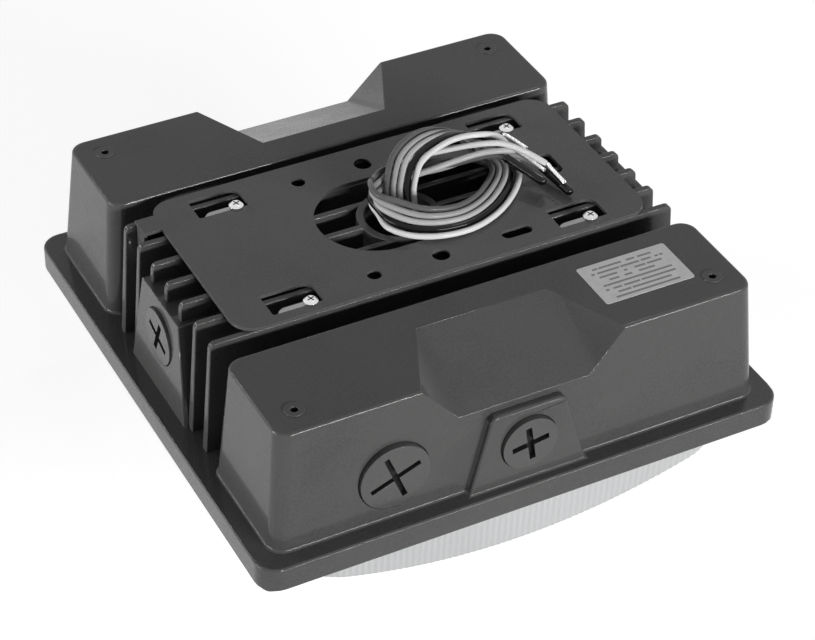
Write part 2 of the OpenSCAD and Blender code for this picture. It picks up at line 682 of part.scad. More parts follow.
// Round-ended shape between two points, from level low to level high
module slot(a, b, r, low, high) {
    for (p = [a, b]) translate([p[0], p[1], low]) cylinder(r = r, h = high - low);
    d = b - a;
    translate([a[0], a[1], low]) rotate([0, 0, atan2(d[1], d[0])]) translate([0, -r, 0])
        cube([norm(d), 2 * r, high - low]);
}

// Milled pads on which the hanging screws stand, with their stalks down to the deck
module milled_pads() {
    for (x = hang_x, y = hang_y)
        slot([x - mill_l, y], [x, y], mill_r, z_flange - fuse, z_fin - mill_z);
}

// Boss behind the tab, for the lock screw
module lock_boss() {
    translate([-tab_x + plate_t + head_gap, 2 * fin_pitch, -lock_z - lock_boss_h / 2])
        cube([lock_boss_d, fin_pitch, lock_boss_h]);
}

module housing() {
    color("#4a4b4d") difference() {
        union() {
            difference() {
                slab(rounded([0, 0], flange_w, flange_w, even(flange_r)), z_skirt, z_flange);
                slab(rounded([0, 0], 2 * skirt_in, 2 * skirt_in, even(flange_r - skirt_wall)),
                    z_skirt - past, z_deck);
            }
            for (m = [0, 1]) mirror([0, m, 0]) {
                difference() {
                    block();
                    recess();
                }
                entry_pad();
            }
            for (m = [0, 1]) mirror([m, 0, 0]) tower();
            fins();
            translate([0, 0, z_flange - fuse]) cylinder(r = collar_r, h = z_fin - z_flange + fuse);
            milled_pads();
            lock_boss();
            for (x = [-1, 1], y = [-1, 1])
                translate([x * boss_pitch / 2, y * boss_pitch / 2, z_block - fuse])
                    cylinder(r = boss_r, h = boss_h + fuse);
        }
        difference() {
            for (m = [0, 1]) mirror([0, m, 0]) bay();
            for (e = ["front_large", "front_small", "rear_small"]) entry_boss(e);
            for (x = [-driver_fix, driver_fix]) translate([x, -driver_y, z_ear + ear_t])
                cylinder(r = post_r, h = block_h);
            for (x = [-surge_fix, surge_fix]) translate([x, surge_y, z_ear + ear_t])
                cylinder(r = post_r, h = block_h);
        }
        for (e = ENTRIES) entry_hole(e);
        for (m = [0, 1]) mirror([m, 0, 0]) tower_room();
        wireway();
        for (x = [-1, 1], y = [-1, 1])
            translate([x * boss_pitch / 2, y * boss_pitch / 2, z_block + boss_h - hole_l / 2])
                cylinder(r = boss_hole_r, h = hole_l);
        for (x = hang_x, y = hang_y) translate([x, y, z_fin - mill_z - hole_l])
            cylinder(r = hang_r + shank_gap, h = hole_l + past);
        translate([-tab_x, lock_y, -lock_z]) rotate([0, 90, 0]) cylinder(r = lock_r + shank_gap, h = hole_l);
        deck_holes();
    }
}

// Room inside a tower, open to the underside of the deck
module tower_room() {
    wall = block_wall;
    translate([tower_out - tower_d + wall, -tower_head + wall, z_deck - fuse])
        cube([tower_face - head_t - ring_room - thread_l - tower_out + tower_d - wall, 2 * (tower_head - wall),
            tower_h - wall + base_t + fuse]);
}

// Bore of the collar with the seal's ledge, and the groove that takes the leads to both blocks
module wireway() {
    translate([0, 0, -seal_z - seal_t]) cylinder(r = collar_bore, h = seal_z + seal_t + past);
    translate([0, 0, z_deck - fuse]) cylinder(r = collar_bore - seal_ledge, h = -z_deck);
    translate([-groove_w / 2, -bay_in - fuse, z_deck - fuse]) cube([groove_w, 2 * (bay_in + fuse), groove_d + fuse]);
}

// Screw holes in the underside
module deck_holes() {
    depth = lens_bite + tip_gap + fuse;
    short = base_t - top_wall + fuse;
    for (p = lens_fix) translate([p[0], p[1], z_deck - fuse]) cylinder(r = small_r + shank_gap, h = depth);
    for (s = [-1, 1], p = board_fix) translate([s * board_x + p[0], p[1], z_deck - fuse])
        cylinder(r = small_r + shank_gap, h = short);
    for (p = refl_fix) translate([p[0], p[1], z_deck - fuse]) cylinder(r = small_r + shank_gap, h = short);
    for (x = [-driver_fix, driver_fix]) translate([x, -driver_y, z_ear])
        cylinder(r = small_r + shank_gap, h = ear_t + post_screw + tip_gap);
    for (x = [-surge_fix, surge_fix]) translate([x, surge_y, z_ear])
        cylinder(r = small_r + shank_gap, h = ear_t + post_screw + tip_gap);
}

module mounting_plate() {
    edge = plate_x - plate_l / 2;
    color("#58595b") translate([0, 0, -plate_t]) {
        difference() {
            union() {
                translate([plate_x, plate_y, 0]) linear_extrude(plate_t)
                    polygon(rounded([0, 0], plate_l, plate_w, even(plate_r)));
                translate([-tab_x, tab_y - ear_w / 2 + 1, 0]) cube([tab_x + edge + fuse, ear_w, plate_t]);
                translate([-tab_x, tab_y - tab_w / 2, plate_t - tab_h]) cube([plate_t, tab_w, tab_h]);
            }
            translate([plate_x, plate_y, 0]) {
                slot([opening_x - (opening_l - opening_w) / 2, 0], [opening_x + (opening_l - opening_w) / 2, 0],
                    opening_w / 2, -past, plate_t + past);
                for (i = [-1, 1], j = [-1, 1]) translate([windows_x + i * window_dx / 2, j * window_dy / 2, -past])
                    linear_extrude(plate_t + 2 * past)
                        polygon(rounded([0, 0], window_l, window_w, [window_r, 1, 1, 1]));
                for (s = [-1, 1]) translate([0, s * box_dy / 2 - box_back, 0]) {
                    translate([box_x, 0, -past]) cylinder(r = box_r, h = plate_t + 2 * past);
                    translate([big_box_x, 0, -past]) cylinder(r = big_box_r, h = plate_t + 2 * past);
                    slot([slot_x - (slot_l - slot_dw) / 2, 0], [slot_x + (slot_l - slot_dw) / 2, 0], slot_dw / 2,
                        -past, plate_t + past);
                }
                slot([end_slot_x, (slot_dw - end_slot_l) / 2], [end_slot_x, (end_slot_l - slot_dw) / 2],
                    slot_dw / 2, -past, plate_t + past);
            }
            for (x = hang_x, y = hang_y) translate([x, y, -past]) cylinder(r = notch_r, h = plate_t + 2 * past);
            for (y = [lock_y, lock_y + slide_y]) translate([-tab_x - past, y, plate_t - lock_z]) rotate([0, 90, 0])
                cylinder(r = lock_slot_r, h = plate_t + 2 * past);
            translate([-tab_x - past, lock_y, plate_t - lock_z - lock_slot_r])
                cube([plate_t + 2 * past, slide_y, 2 * lock_slot_r]);
        }
    }
}

// Pan-head screw with a cross recess, head upwards, whose head rests at z = 0
module screw(r, length, head_r, head_h) {
    difference() {
        union() {
            translate([0, 0, -length]) cylinder(r = r, h = length + head_h / 2);
            cylinder(r = head_r, h = head_h * 0.55);
            translate([0, 0, head_h * 0.55]) cylinder(r1 = head_r, r2 = head_r * 0.62, h = head_h * 0.45);
        }
        for (a = [20, 110]) rotate([0, 0, a]) translate([-head_r * 0.55, -head_r * 0.1, head_h * 0.45])
            cube([head_r * 1.1, head_r * 0.2, head_h]);
    }
}

module plate_screws() {
    color("silver") for (x = hang_x, y = hang_y) translate([x, y, head_gap])
        screw(hang_r, -z_fin + mill_z + head_gap + hole_l - 1, hang_head_r, hang_head_t);
}

module lock_screw() {
    color("silver") translate([-tab_x - head_gap, lock_y, -lock_z]) rotate([0, -90, 0])
        screw(lock_r, hole_l - 1, lock_head_r, hang_head_t);
}

module front_large_plug() { color("#4a4b4d") plug("front_large"); }
module front_small_plug() { color("#4a4b4d") plug("front_small"); }
module rear_small_plug() { color("#4a4b4d") plug("rear_small"); }
module left_plug() { color("#4a4b4d") plug("left"); }
module right_plug() { color("#4a4b4d") plug("right"); }
module front_large_ring() { color("black") ring("front_large"); }
module front_small_ring() { color("black") ring("front_small"); }
module rear_small_ring() { color("black") ring("rear_small"); }
module left_ring() { color("black") ring("left"); }
module right_ring() { color("black") ring("right"); }

module wire_seal() {
    color("#222222") translate([0, 0, -seal_z - seal_t + head_gap])
        cylinder(r = collar_bore - head_gap, h = seal_t - head_gap);
}

// Level of the domed bottom at a distance d from the middle, for a dome drawn in by t
function dome_z(d, t) =
    z_skirt - lens_side - (sqrt(pow(dome_r, 2) - d * d) - sqrt(pow(dome_r, 2) - lens_y * lens_y)) + t;

// Outline of the lens wall drawn in by t, with its sides cut into short steps
function lens_edge(t, n = 6) =
    let (p = rounded([0, 0], 2 * (lens_x - t), 2 * (lens_y - t), even(lens_r - t)), m = len(p))
    [for (i = [0:m - 1]) each
        let (a = p[i], b = p[(i + 1) % m], k = norm(b - a) > lens_r ? n : 1) [for (j = [0:k - 1]) a + (b - a) * j / k]];

// Shrinking rings from the wall's lower edge to near the middle of a dome drawn in by t
function dome_rings(t) =
    [for (f = [1, 0.94, 0.75, 0.5, 0.25]) [for (p = lens_edge(t)) [p[0] * f, p[1] * f, dome_z(norm(p) * f, t)]]];

// Bowl of the lens as one closed shell, from its upper edge down the outside and up the inside
module bowl(top) {
    outer = dome_rings(0);
    inner = dome_rings(lens_t);
    m = len(inner);
    rings = concat([[for (p = lens_edge(lens_t)) [p[0], p[1], top]], [for (p = lens_edge(0)) [p[0], p[1], top]]],
        outer, [for (k = [m - 1:-1:0]) inner[k]]);
    n = len(rings[0]);
    last = len(rings);
    tip = last * n;
    // the outside runs to its tip after ring m + 1, and the inside starts from its own tip
    pairs = concat([for (k = [0:m]) k], [for (k = [m + 2:last - 2]) k]);
    side = [for (k = pairs, i = [0:n - 1]) each [
        [k * n + i, k * n + (i + 1) % n, k * n + n + (i + 1) % n],
        [k * n + i, k * n + n + (i + 1) % n, k * n + n + i]]];
    seam = [for (i = [0:n - 1]) each [
        [(last - 1) * n + i, (last - 1) * n + (i + 1) % n, (i + 1) % n], [(last - 1) * n + i, (i + 1) % n, i]]];
    tips = [for (i = [0:n - 1]) each [
        [(m + 1) * n + i, (m + 1) * n + (i + 1) % n, tip], [(m + 2) * n + (i + 1) % n, (m + 2) * n + i, tip + 1]]];
    polyhedron(concat([for (r = rings) each r], [[0, 0, dome_z(0, 0)], [0, 0, dome_z(0, lens_t)]]),
        concat(side, seam, tips));
}

module lens() {
    lip = skirt_in - lip_gap;
    color("#dfe3e6") {
        difference() {
            slab(rounded([0, 0], 2 * lip, 2 * lip, even(lip_r)), z_lip - lip_t, z_lip);
            slab(lens_edge(lens_t / 2), z_lip - lip_t - past, z_lip + past);
            for (p = lens_fix) translate([p[0], p[1], z_lip - lip_t - past])
                cylinder(r = small_r + shank_gap, h = lip_t + 2 * past);
        }
        bowl(z_lip - lip_t / 2);
    }
}

module lens_gasket() {
    lip = skirt_in - lip_gap;
    inside = 2 * (lip - gasket_w);
    color("#303030") difference() {
        slab(rounded([0, 0], 2 * lip, 2 * lip, even(lip_r)), z_lip, z_deck);
        slab(rounded([0, 0], inside, inside, even(lip_r)), z_lip - past, z_deck + past);
        for (p = lens_fix) translate([p[0], p[1], z_lip - past])
            cylinder(r = small_r + shank_gap, h = gasket_t + 2 * past);
    }
}

// Small screw driven upwards, whose head rests against level z
module small_screw(x, y, z, length) {
    translate([x, y, z - head_gap]) mirror([0, 0, 1]) screw(small_r, length, small_head_r, small_head_t);
}

module lens_screws() {
    color("silver") for (p = lens_fix) small_screw(p[0], p[1], z_lip - lip_t, lip_t + gasket_t + lens_bite);
}

// Light board on the side s
module light_board(s) {
    color("white") difference() {
        translate([s * board_x - board_l / 2, -board_w / 2, z_led]) cube([board_l, board_w, board_t]);
        for (p = board_fix) translate([s * board_x + p[0], p[1], z_led - past])
            cylinder(r = small_r + shank_gap, h = board_t + 2 * past);
    }
}

module left_board() { light_board(-1); }
module right_board() { light_board(1); }

// Thermal pad behind the board on the side s
module thermal_pad(s) {
    color("#9aa4b0") difference() {
        translate([s * board_x - board_l / 2, -board_w / 2, z_board]) cube([board_l, board_w, pad_t]);
        for (p = board_fix) translate([s * board_x + p[0], p[1], z_board - past])
            cylinder(r = small_r + shank_gap, h = pad_t + 2 * past);
    }
}

module left_thermal_pad() { thermal_pad(-1); }
module right_thermal_pad() { thermal_pad(1); }

module light_packages() {
    step_x = (board_l - 2 * led_in) / (led_cols - 1);
    step_y = (board_w - 2 * led_in) / (led_rows - 1);
    color("#f2e27a") for (s = [-1, 1], i = [0:led_cols - 1], j = [0:led_rows - 1])
        translate([s * board_x + (i - (led_cols - 1) / 2) * step_x - led_s / 2,
            (j - (led_rows - 1) / 2) * step_y - led_s / 2, z_led - led_t]) cube([led_s, led_s, led_t]);
}

module board_screws() {
    color("silver") for (s = [-1, 1], p = board_fix)
        small_screw(s * board_x + p[0], p[1], z_led, board_t + pad_t + base_t - 2 * top_wall);
}

module reflector() {
    color("white") difference() {
        slab(rounded([0, 0], 2 * refl_w, 2 * refl_w, even(refl_r)), z_deck - refl_t, z_deck);
        for (s = [-1, 1]) translate([s * board_x - board_l / 2 - refl_gap, -board_w / 2 - refl_gap, z_deck - past])
            cube([board_l + 2 * refl_gap, board_w + 2 * refl_gap, 2 * past]);
        for (p = refl_fix) translate([p[0], p[1], z_deck - past]) cylinder(r = small_r + shank_gap, h = 2 * past);
    }
}

module reflector_screws() {
    color("silver") for (p = refl_fix) small_screw(p[0], p[1], z_deck - refl_t, refl_t + base_t - 2 * top_wall);
}

// Potted box with a fixing tab at each end, whose tabs' upper faces lie at the posts
module potted_box(l, w, h, y) {
    fix = l / 2 + ear_l / 2;
    difference() {
        union() {
            slab(rounded([0, y], l, w, even(2)), z_ear + ear_t - h, z_ear + ear_t);
            slab(rounded([0, y], l + 2 * ear_l, w * 0.6, even(3)), z_ear, z_ear + ear_t);
        }
        for (s = [-1, 1]) translate([s * fix, y, z_ear - past])
            cylinder(r = small_r + shank_gap, h = ear_t + 2 * past);
    }
}

module driver() { color("#b9bcc0") potted_box(driver_l, driver_w, driver_h, -driver_y); }
module surge_protector() { color("#202020") potted_box(surge_l, surge_w, surge_h, surge_y); }
module driver_screws() {
    color("silver") for (s = [-1, 1]) small_screw(s * driver_fix, -driver_y, z_ear, ear_t + post_screw);
}
module surge_screws() {
    color("silver") for (s = [-1, 1]) small_screw(s * surge_fix, surge_y, z_ear, ear_t + post_screw);
}

module lead(name, k, way) {
    p = lead_curve(k, way);
    echo(str("least gap of the ", name, " lead to itself, mm: "), self_gap(p));
    tube(p, lead_r);
}

module dim_plus_lead() { color("#8a7f96") lead("dim plus", -2, dim_plus_way); }
module dim_minus_lead() { color("#b79aa6") lead("dim minus", -1, dim_minus_way); }
module ground_lead() { color("#9fb09a") lead("ground", 0, ground_way); }
module line_lead() { color("#1c1c1c") lead("line", 1, line_way); }
module neutral_lead() { color("#e8e8e8") lead("neutral", 2, neutral_way); }

// Strands that leave the end of a lead straight and follow the points q
module bare_end(k, way, q) {
    p = lead_curve(k, way);
    m = len(p) - 1;
    d = unit(p[m] - p[m - 1]);
    tube(curve(concat([p[m] + end_gap * d, p[m] + (end_gap + strand_r) * d], q)), strand_r);
}

module lead_strands() {
    color("#c9a27a") {
        bare_end(1, line_way, line_strands);
        bare_end(0, ground_way, ground_strands);
        bare_end(2, neutral_way, neutral_strands);
    }
}

// Cap on a lead's end a, with its rounded tip at b
module cap(a, b) {
    d = b - a;
    translate(a) rotate([0, acos(d[2] / norm(d)), atan2(d[1], d[0])]) {
        translate([0, 0, end_gap]) cylinder(r = cap_r, h = norm(d) - cap_r - end_gap);
        translate([0, 0, norm(d) - cap_r]) sphere(r = cap_r);
    }
}

module lead_caps() {
    color("#101010") {
        cap(dim_plus_way[len(dim_plus_way) - 1], dim_plus_tip);
        cap(dim_minus_way[len(dim_minus_way) - 1], dim_minus_tip);
    }
}

// Wiring label on the front block, left blank
module wiring_label() {
    y = (block_in + block_draft_in + block_out - block_draft) / 2 - label_back;
    color("#d0d0d0") slab(rounded([label_x, -y], label_l, label_w, even(block_round)), z_block, z_block + label_t);
}

housing();
mounting_plate();
plate_screws();
lock_screw();
front_large_plug();
front_small_plug();
rear_small_plug();
left_plug();
right_plug();
front_large_ring();
front_small_ring();
rear_small_ring();
left_ring();
right_ring();
wire_seal();
lens();
lens_gasket();
lens_screws();
left_board();
right_board();
left_thermal_pad();
right_thermal_pad();
light_packages();
board_screws();
reflector();
reflector_screws();
driver();
driver_screws();
surge_protector();
surge_screws();
line_lead();
neutral_lead();
ground_lead();
dim_plus_lead();
dim_minus_lead();
lead_strands();
lead_caps();
wiring_label();
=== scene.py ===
import math

import bmesh
import bpy
import numpy as np
from mathutils import Matrix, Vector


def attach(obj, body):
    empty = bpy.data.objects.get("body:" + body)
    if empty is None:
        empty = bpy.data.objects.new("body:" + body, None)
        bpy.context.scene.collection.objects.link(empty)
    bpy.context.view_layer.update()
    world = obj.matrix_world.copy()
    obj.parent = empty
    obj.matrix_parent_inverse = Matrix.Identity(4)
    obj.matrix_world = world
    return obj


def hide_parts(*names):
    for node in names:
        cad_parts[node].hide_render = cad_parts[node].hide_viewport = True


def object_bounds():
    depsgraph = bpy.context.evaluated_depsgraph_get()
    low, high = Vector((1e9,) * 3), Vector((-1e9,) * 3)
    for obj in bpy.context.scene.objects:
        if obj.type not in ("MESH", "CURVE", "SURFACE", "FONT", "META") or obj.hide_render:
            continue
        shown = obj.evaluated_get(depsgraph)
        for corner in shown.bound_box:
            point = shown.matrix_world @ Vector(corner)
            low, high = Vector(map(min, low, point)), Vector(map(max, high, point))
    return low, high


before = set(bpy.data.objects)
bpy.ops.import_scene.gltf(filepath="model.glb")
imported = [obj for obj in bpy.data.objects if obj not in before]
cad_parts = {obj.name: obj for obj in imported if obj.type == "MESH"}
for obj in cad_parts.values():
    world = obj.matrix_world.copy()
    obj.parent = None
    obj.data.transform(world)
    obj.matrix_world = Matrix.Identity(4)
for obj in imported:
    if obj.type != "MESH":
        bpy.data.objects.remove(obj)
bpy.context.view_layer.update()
MM = 0.001
scene = bpy.context.scene
scene.view_settings.view_transform = "Standard"

# Levels of the fixture, in mm from the mounting plate's top face
FLANGE_TOP = -59.6
FLANGE_FOOT = -71.7
MILLED_TOP = -2.3
BLOCK_TOP = -0.6


# Camera: the photograph's view, worked out from the corners of the square flange, as azimuth, elevation and roll and a
# place in mm

CAMERA_DEGREES = (-27.101, 38.724, 0.712)
CAMERA_PLACE = (-436.078, -805.795, 676.809)


def standing_matrix(right, up, back, where):
    """Matrix of an object from its three directions and its place in metres."""
    return Matrix([list(row) for row in np.column_stack([right, up, back, where])] + [[0, 0, 0, 1]])


def photo_camera():
    """Camera from azimuth, elevation and roll: right and up are turned about the line of view."""
    azimuth, elevation, roll = np.radians(CAMERA_DEGREES)
    forward = np.array([-math.sin(azimuth) * math.cos(elevation), math.cos(azimuth) * math.cos(elevation),
                        -math.sin(elevation)])
    right = np.array([math.cos(azimuth), math.sin(azimuth), 0])
    up = np.cross(right, forward)
    right, up = math.cos(roll) * right + math.sin(roll) * up, -math.sin(roll) * right + math.cos(roll) * up
    camera = bpy.data.objects.new("camera", bpy.data.cameras.new("camera"))
    camera.matrix_world = standing_matrix(right, up, -forward, np.array(CAMERA_PLACE) * MM)
    camera.data.sensor_width = 36
    camera.data.lens = 112.9
    camera.data.shift_x = 0.0695
    camera.data.shift_y = -0.0096
    camera.data.clip_start = 0.05
    scene.collection.objects.link(camera)
    scene.camera = camera


photo_camera()


# Making meshes from arrays

MAP_STEP = 0.01  # mm of a lead for one unit of its map


def mesh_piece(name, points, faces, uv=None, sharp=40):
    """Object at the origin from an array of points and one or more arrays of faces, smooth but for sharp edges."""
    mesh = bpy.data.meshes.new(name)
    mesh.from_pydata(np.asarray(points).tolist(), [], [f for part in faces for f in part.tolist()])
    if uv is not None:
        layer = mesh.uv_layers.new(name="along")
        corner = np.empty(len(mesh.loops), np.int32)
        mesh.loops.foreach_get("vertex_index", corner)
        layer.data.foreach_set("uv", np.asarray(uv)[corner].ravel().astype(np.float32))
    mesh.shade_smooth()
    mesh.set_sharp_from_angle(angle=math.radians(sharp))
    piece = bpy.data.objects.new(name, mesh)
    scene.collection.objects.link(piece)
    return piece


def grid_faces(rows, columns):
    """Quads of a grid of rows whose columns close on themselves: each joins a point, its neighbour and the next row."""
    r, c = np.meshgrid(np.arange(rows - 1), np.arange(columns), indexing="ij")
    n = (c + 1) % columns
    a, b = r * columns + c, r * columns + n
    return np.stack([a, b, b + columns, a + columns], -1).reshape(-1, 4)


def smooth_way(points, steps=8):
    """Catmull-Rom curve through the points, with mirrored points past both ends and equal steps in each span."""
    p = np.asarray(points, float)
    q = np.vstack([2 * p[0] - p[1], p, 2 * p[-1] - p[-2]])
    a, b, c, d = (q[i:len(q) - 3 + i, None, :] for i in range(4))
    t = (np.arange(steps) / steps)[None, :, None]
    spans = (2 * b + (c - a) * t + (2 * a - 5 * b + 4 * c - d) * t ** 2 + (3 * b - a - 3 * c + d) * t ** 3) / 2
    return np.vstack([spans.reshape(-1, 3), p[-1]])


def carried_sides(way):
    """Two side vectors for each point of a way, carried along it without twist: each is the last one made square to
    the new heading."""
    heading = np.gradient(way, axis=0)
    heading /= np.linalg.norm(heading, axis=1)[:, None]
    side = np.array([1, 0.1, 0.1])
    sides = []
    for t in heading:
        side = side - t * side.dot(t)
        side = side / np.linalg.norm(side)
        sides.append(side)
    sides = np.array(sides)
    return sides, np.cross(heading, sides)


def tube_grid(way, radius, around):
    """Circle of the given radius carried along a way: point = way + radius (cos a * side + sin a * other side)."""
    u, v = carried_sides(way)
    a = np.linspace(0, 2 * math.pi, around, endpoint=False)[None, :, None]
    r = np.broadcast_to(radius, len(way))[:, None, None]
    return way[:, None, :] + r * (np.cos(a) * u[:, None, :] + np.sin(a) * v[:, None, :])


def run_along(way):
    """Length of a way from its start to each of its points."""
    return np.r_[0, np.cumsum(np.linalg.norm(np.diff(way, axis=0), axis=1))]


def end_faces(rows, around):
    """One face over the first ring of a grid and one over its last ring."""
    ring = np.arange(around)[None]
    return [ring[:, ::-1], (rows - 1) * around + ring]


def closed_tube(way, radius, around):
    """Points, faces and map of a tube with closed ends: its first and last rings shrink to a small disc over the end
    points, and the map holds the share of the turn and the length in steps of MAP_STEP."""
    way = np.vstack([way[0] + (way[0] - way[1]) * 1e-4, way, way[-1] + (way[-1] - way[-2]) * 1e-4])
    radius = np.broadcast_to(radius, len(way)).astype(float).copy()
    radius[[0, -1]] *= 0.02
    grid = tube_grid(way, radius, around)
    faces = [grid_faces(len(way), around)] + end_faces(len(way), around)
    uv = np.stack(np.broadcast_arrays(np.arange(around)[None] / around, run_along(way)[:, None] / MAP_STEP), -1)
    return grid.reshape(-1, 3), faces, uv.reshape(-1, 2)


# Leads: the way that all five share, the step from one lead to the next, and each lead's own end, in mm

LOOP_WAY = np.array([
    (3, 3, -20), (3, 3, -17), (3, 3, -10), (3, 4, -1), (4.5, 8.5, 5), (8, 13.5, 9), (12.5, 18, 12.5), (18.5, 21, 15),
    (26.5, 23.5, 16), (36, 24.5, 15.5), (45.5, 23, 13.5), (54.5, 17, 7.5), (57.3, 10, 4.8), (55.5, 2.5, 3.6),
    (48.5, -6.5, 3.6), (36.5, -16, 4), (23, -21.5, 4.6), (10, -21.5, 5.4), (-0.5, -17, 6), (-8, -9, 7), (-11, 0, 7.5)])
LOOP_STEP = np.array([
    (2.9, -1, 0), (2.9, -1, 0), (2.9, -1, 0), (2.7, -1.4, 0), (2.6, -1.6, 0), (2.5, -1.8, -0.5), (2.2, -2.2, -0.6),
    (1.4, -2.7, -0.8), (0.5, -3, -0.6), (0.3, -3.2, 0.6), (0.6, -3.2, 1.8), (2.4, 0.1, 2.3), (3.1, 0.3, 0.5),
    (3, -0.9, 0), (2.4, -2.1, -0.4), (1.5, -2.7, -0.8), (0.4, -2.8, -1.3), (-0.8, -2.6, -1.6), (-1.8, -1.8, -2),
    (-1.4, -0.5, -2.8), (0.4, 0.4, -3.1)])
LEAD_ENDS = {
    "dim_plus_lead": (-2, [
        (-9.4, 10.5, 11.6), (-3.5, 18.9, 7.4), (4.5, 23.5, 6.8), (13.5, 22.5, 6), (23, 19, 5.6), (34, 15, 5.8),
        (43, 12.2, 7.6), (49.5, 10, 8.8), (54, 7.2, 9.2), (57, 2.2, 9)]),
    "dim_minus_lead": (-1, [
        (-9, 9.8, 8.4), (-1.1, 17.1, 6.1), (4.5, 20.5, 4.8), (13, 20.5, 3), (23, 19, 2.3), (34, 17.5, 3),
        (44, 15.7, 5.8), (52, 13, 8.2), (58.5, 8.3, 8.5), (64.5, 3.2, 7.4), (69.4, -1.8, 5.4), (71, -6.3, 4.6)]),
    "ground_lead": (0, [
        (-6.8, 8.8, 6), (-0.6, 15.2, 3), (6, 17.5, 3.2), (13, 15.5, 5), (22, 12.5, 7.8), (34, 11, 10.2),
        (46, 9.3, 11.8), (54.5, 6.7, 12.2), (61.5, 5.4, 11)]),
    "line_lead": (1, [
        (-9.6, 9.8, 4.2), (-2.7, 18.4, 3.7), (5, 27, 4.2), (19, 32, 5), (36, 31.7, 5.6), (51, 27.5, 6.3),
        (65.5, 24.3, 6.5)]),
    "neutral_lead": (2, [
        (-8.9, 10, 1.1), (-2, 18.5, 0.6), (7, 25.5, 2), (18, 26.5, 5.5), (32, 20.5, 10), (45, 15, 13),
        (55.8, 8.1, 14.9), (63.5, -0.2, 13.2), (70.5, -7.5, 9.2)])}
STRAND_WAYS = {
    "line_lead": [(67.4, 22.4, 6.6), (68.7, 18.5, 6.4), (71, 11, 5.8)],
    "ground_lead": [(63.3, 3.6, 10.4), (65.2, -0.5, 9.5), (68.2, -10, 7.8)],
    "neutral_lead": [(71.3, -11, 8.3), (72.1, -21.3, 7.2)]}
CAP_TIPS = {"dim_plus_lead": (65.2, -16.5, 6), "dim_minus_lead": (74.2, -24.6, 2.6)}
LEAD_RADIUS, LEAD_SIDES = 1.4, 20
END_ROUNDING = 0.12  # how far the insulation is drawn in at its cut ends
CAP_RADIUS, CAP_SIDES = 2.2, 32
# The cap's lip and shoulder: distances from the lead's end towards the tip, and radii
CAP_ALONG = (0.6, -2.2, -2.4, -2.4, -2.2, -1.2, -0.9, 0.5)
CAP_OUT = (1.45, 1.45, 1.55, 1.85, 2.0, 2.05, 1.92, 1.95)
STRANDS, STRAND_LAY = 7, 10.0
STRAND_RADIUS, STRAND_SPREAD, STRAND_SIDES = 0.95, 0.66, 8  # the spread is a share of the bundle's radius
ONE_STRAND, CORE_STRAND = 0.27, 0.36
END_GAP = 0.25


def lead_way(name):
    """Way of a lead: the shared way moved by its number of steps, then its own end."""
    number, end = LEAD_ENDS[name]
    return smooth_way(np.vstack([LOOP_WAY + number * LOOP_STEP, end]))


def strand_bundle(name, way):
    """Seven thin strands laid as helices about a core: strand = way + r (cos a * side + sin a * other side), where a
    grows with the length and r by a tenth towards the free end."""
    end = way[-1]
    out = (way[-1] - way[-2]) / np.linalg.norm(way[-1] - way[-2])
    core = smooth_way(np.vstack([end + END_GAP * out, end + (END_GAP + STRAND_RADIUS) * out, STRAND_WAYS[name]]), 12)
    u, v = carried_sides(core)
    run = run_along(core)
    spread = (STRAND_SPREAD * STRAND_RADIUS * (1 + 0.1 * (run / run[-1]) ** 3))[:, None]
    points, faces, start = [], [], 0
    for i in range(STRANDS + 1):
        angle = (2 * math.pi * (i / STRANDS + run / STRAND_LAY))[:, None]
        is_core = i == STRANDS
        centre = core if is_core else core + spread * (np.cos(angle) * u + np.sin(angle) * v)
        p, f, _ = closed_tube(centre, CORE_STRAND if is_core else ONE_STRAND, STRAND_SIDES)
        points.append(p)
        faces += [part + start for part in f]
        start += len(p)
    return mesh_piece(name.replace("lead", "strands"), np.vstack(points) * MM, faces, sharp=60)


def end_cap(name, way):
    """Cap turned about the line from a lead's end to its tip: a lip, a slightly widening body and a round nose."""
    start, tip = way[-1], np.array(CAP_TIPS[name])
    length = np.linalg.norm(tip - start)
    axis = (tip - start) / length
    nose = np.radians(np.linspace(0, 86, 9))
    along = np.r_[CAP_ALONG, length - CAP_RADIUS + CAP_RADIUS * np.sin(nose)]
    out = np.r_[CAP_OUT, (CAP_RADIUS - 0.02) * np.cos(nose)]
    line = start + along[:, None] * axis
    u = np.cross(axis, [0, 0, 1])
    u /= np.linalg.norm(u)
    v = np.cross(axis, u)
    t = np.linspace(0, 2 * math.pi, CAP_SIDES, endpoint=False)[None, :, None]
    grid = line[:, None, :] + out[:, None, None] * (np.cos(t) * u + np.sin(t) * v)
    faces = [grid_faces(len(line), CAP_SIDES)] + end_faces(len(line), CAP_SIDES)
    return mesh_piece(name.replace("lead", "cap"), grid.reshape(-1, 3) * MM, faces)


def make_leads():
    """The five leads with their bare strands or caps: pairs of pieces by the lead's name."""
    made = {}
    for name in LEAD_ENDS:
        way = lead_way(name)
        radius = np.full(len(way) + 2, LEAD_RADIUS)
        radius[[1, -2]] -= END_ROUNDING
        points, faces, uv = closed_tube(way, radius, LEAD_SIDES)
        lead = mesh_piece(name.replace("lead", "insulation"), points * MM, faces, uv)
        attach(lead, "fixture")
        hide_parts(name)
        end = strand_bundle(name, way) if name in STRAND_WAYS else end_cap(name, way)
        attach(end, "fixture")
        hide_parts("lead_strands" if name in STRAND_WAYS else "lead_caps")
        made[name] = (lead, end)
    return made


leads = make_leads()


# Materials

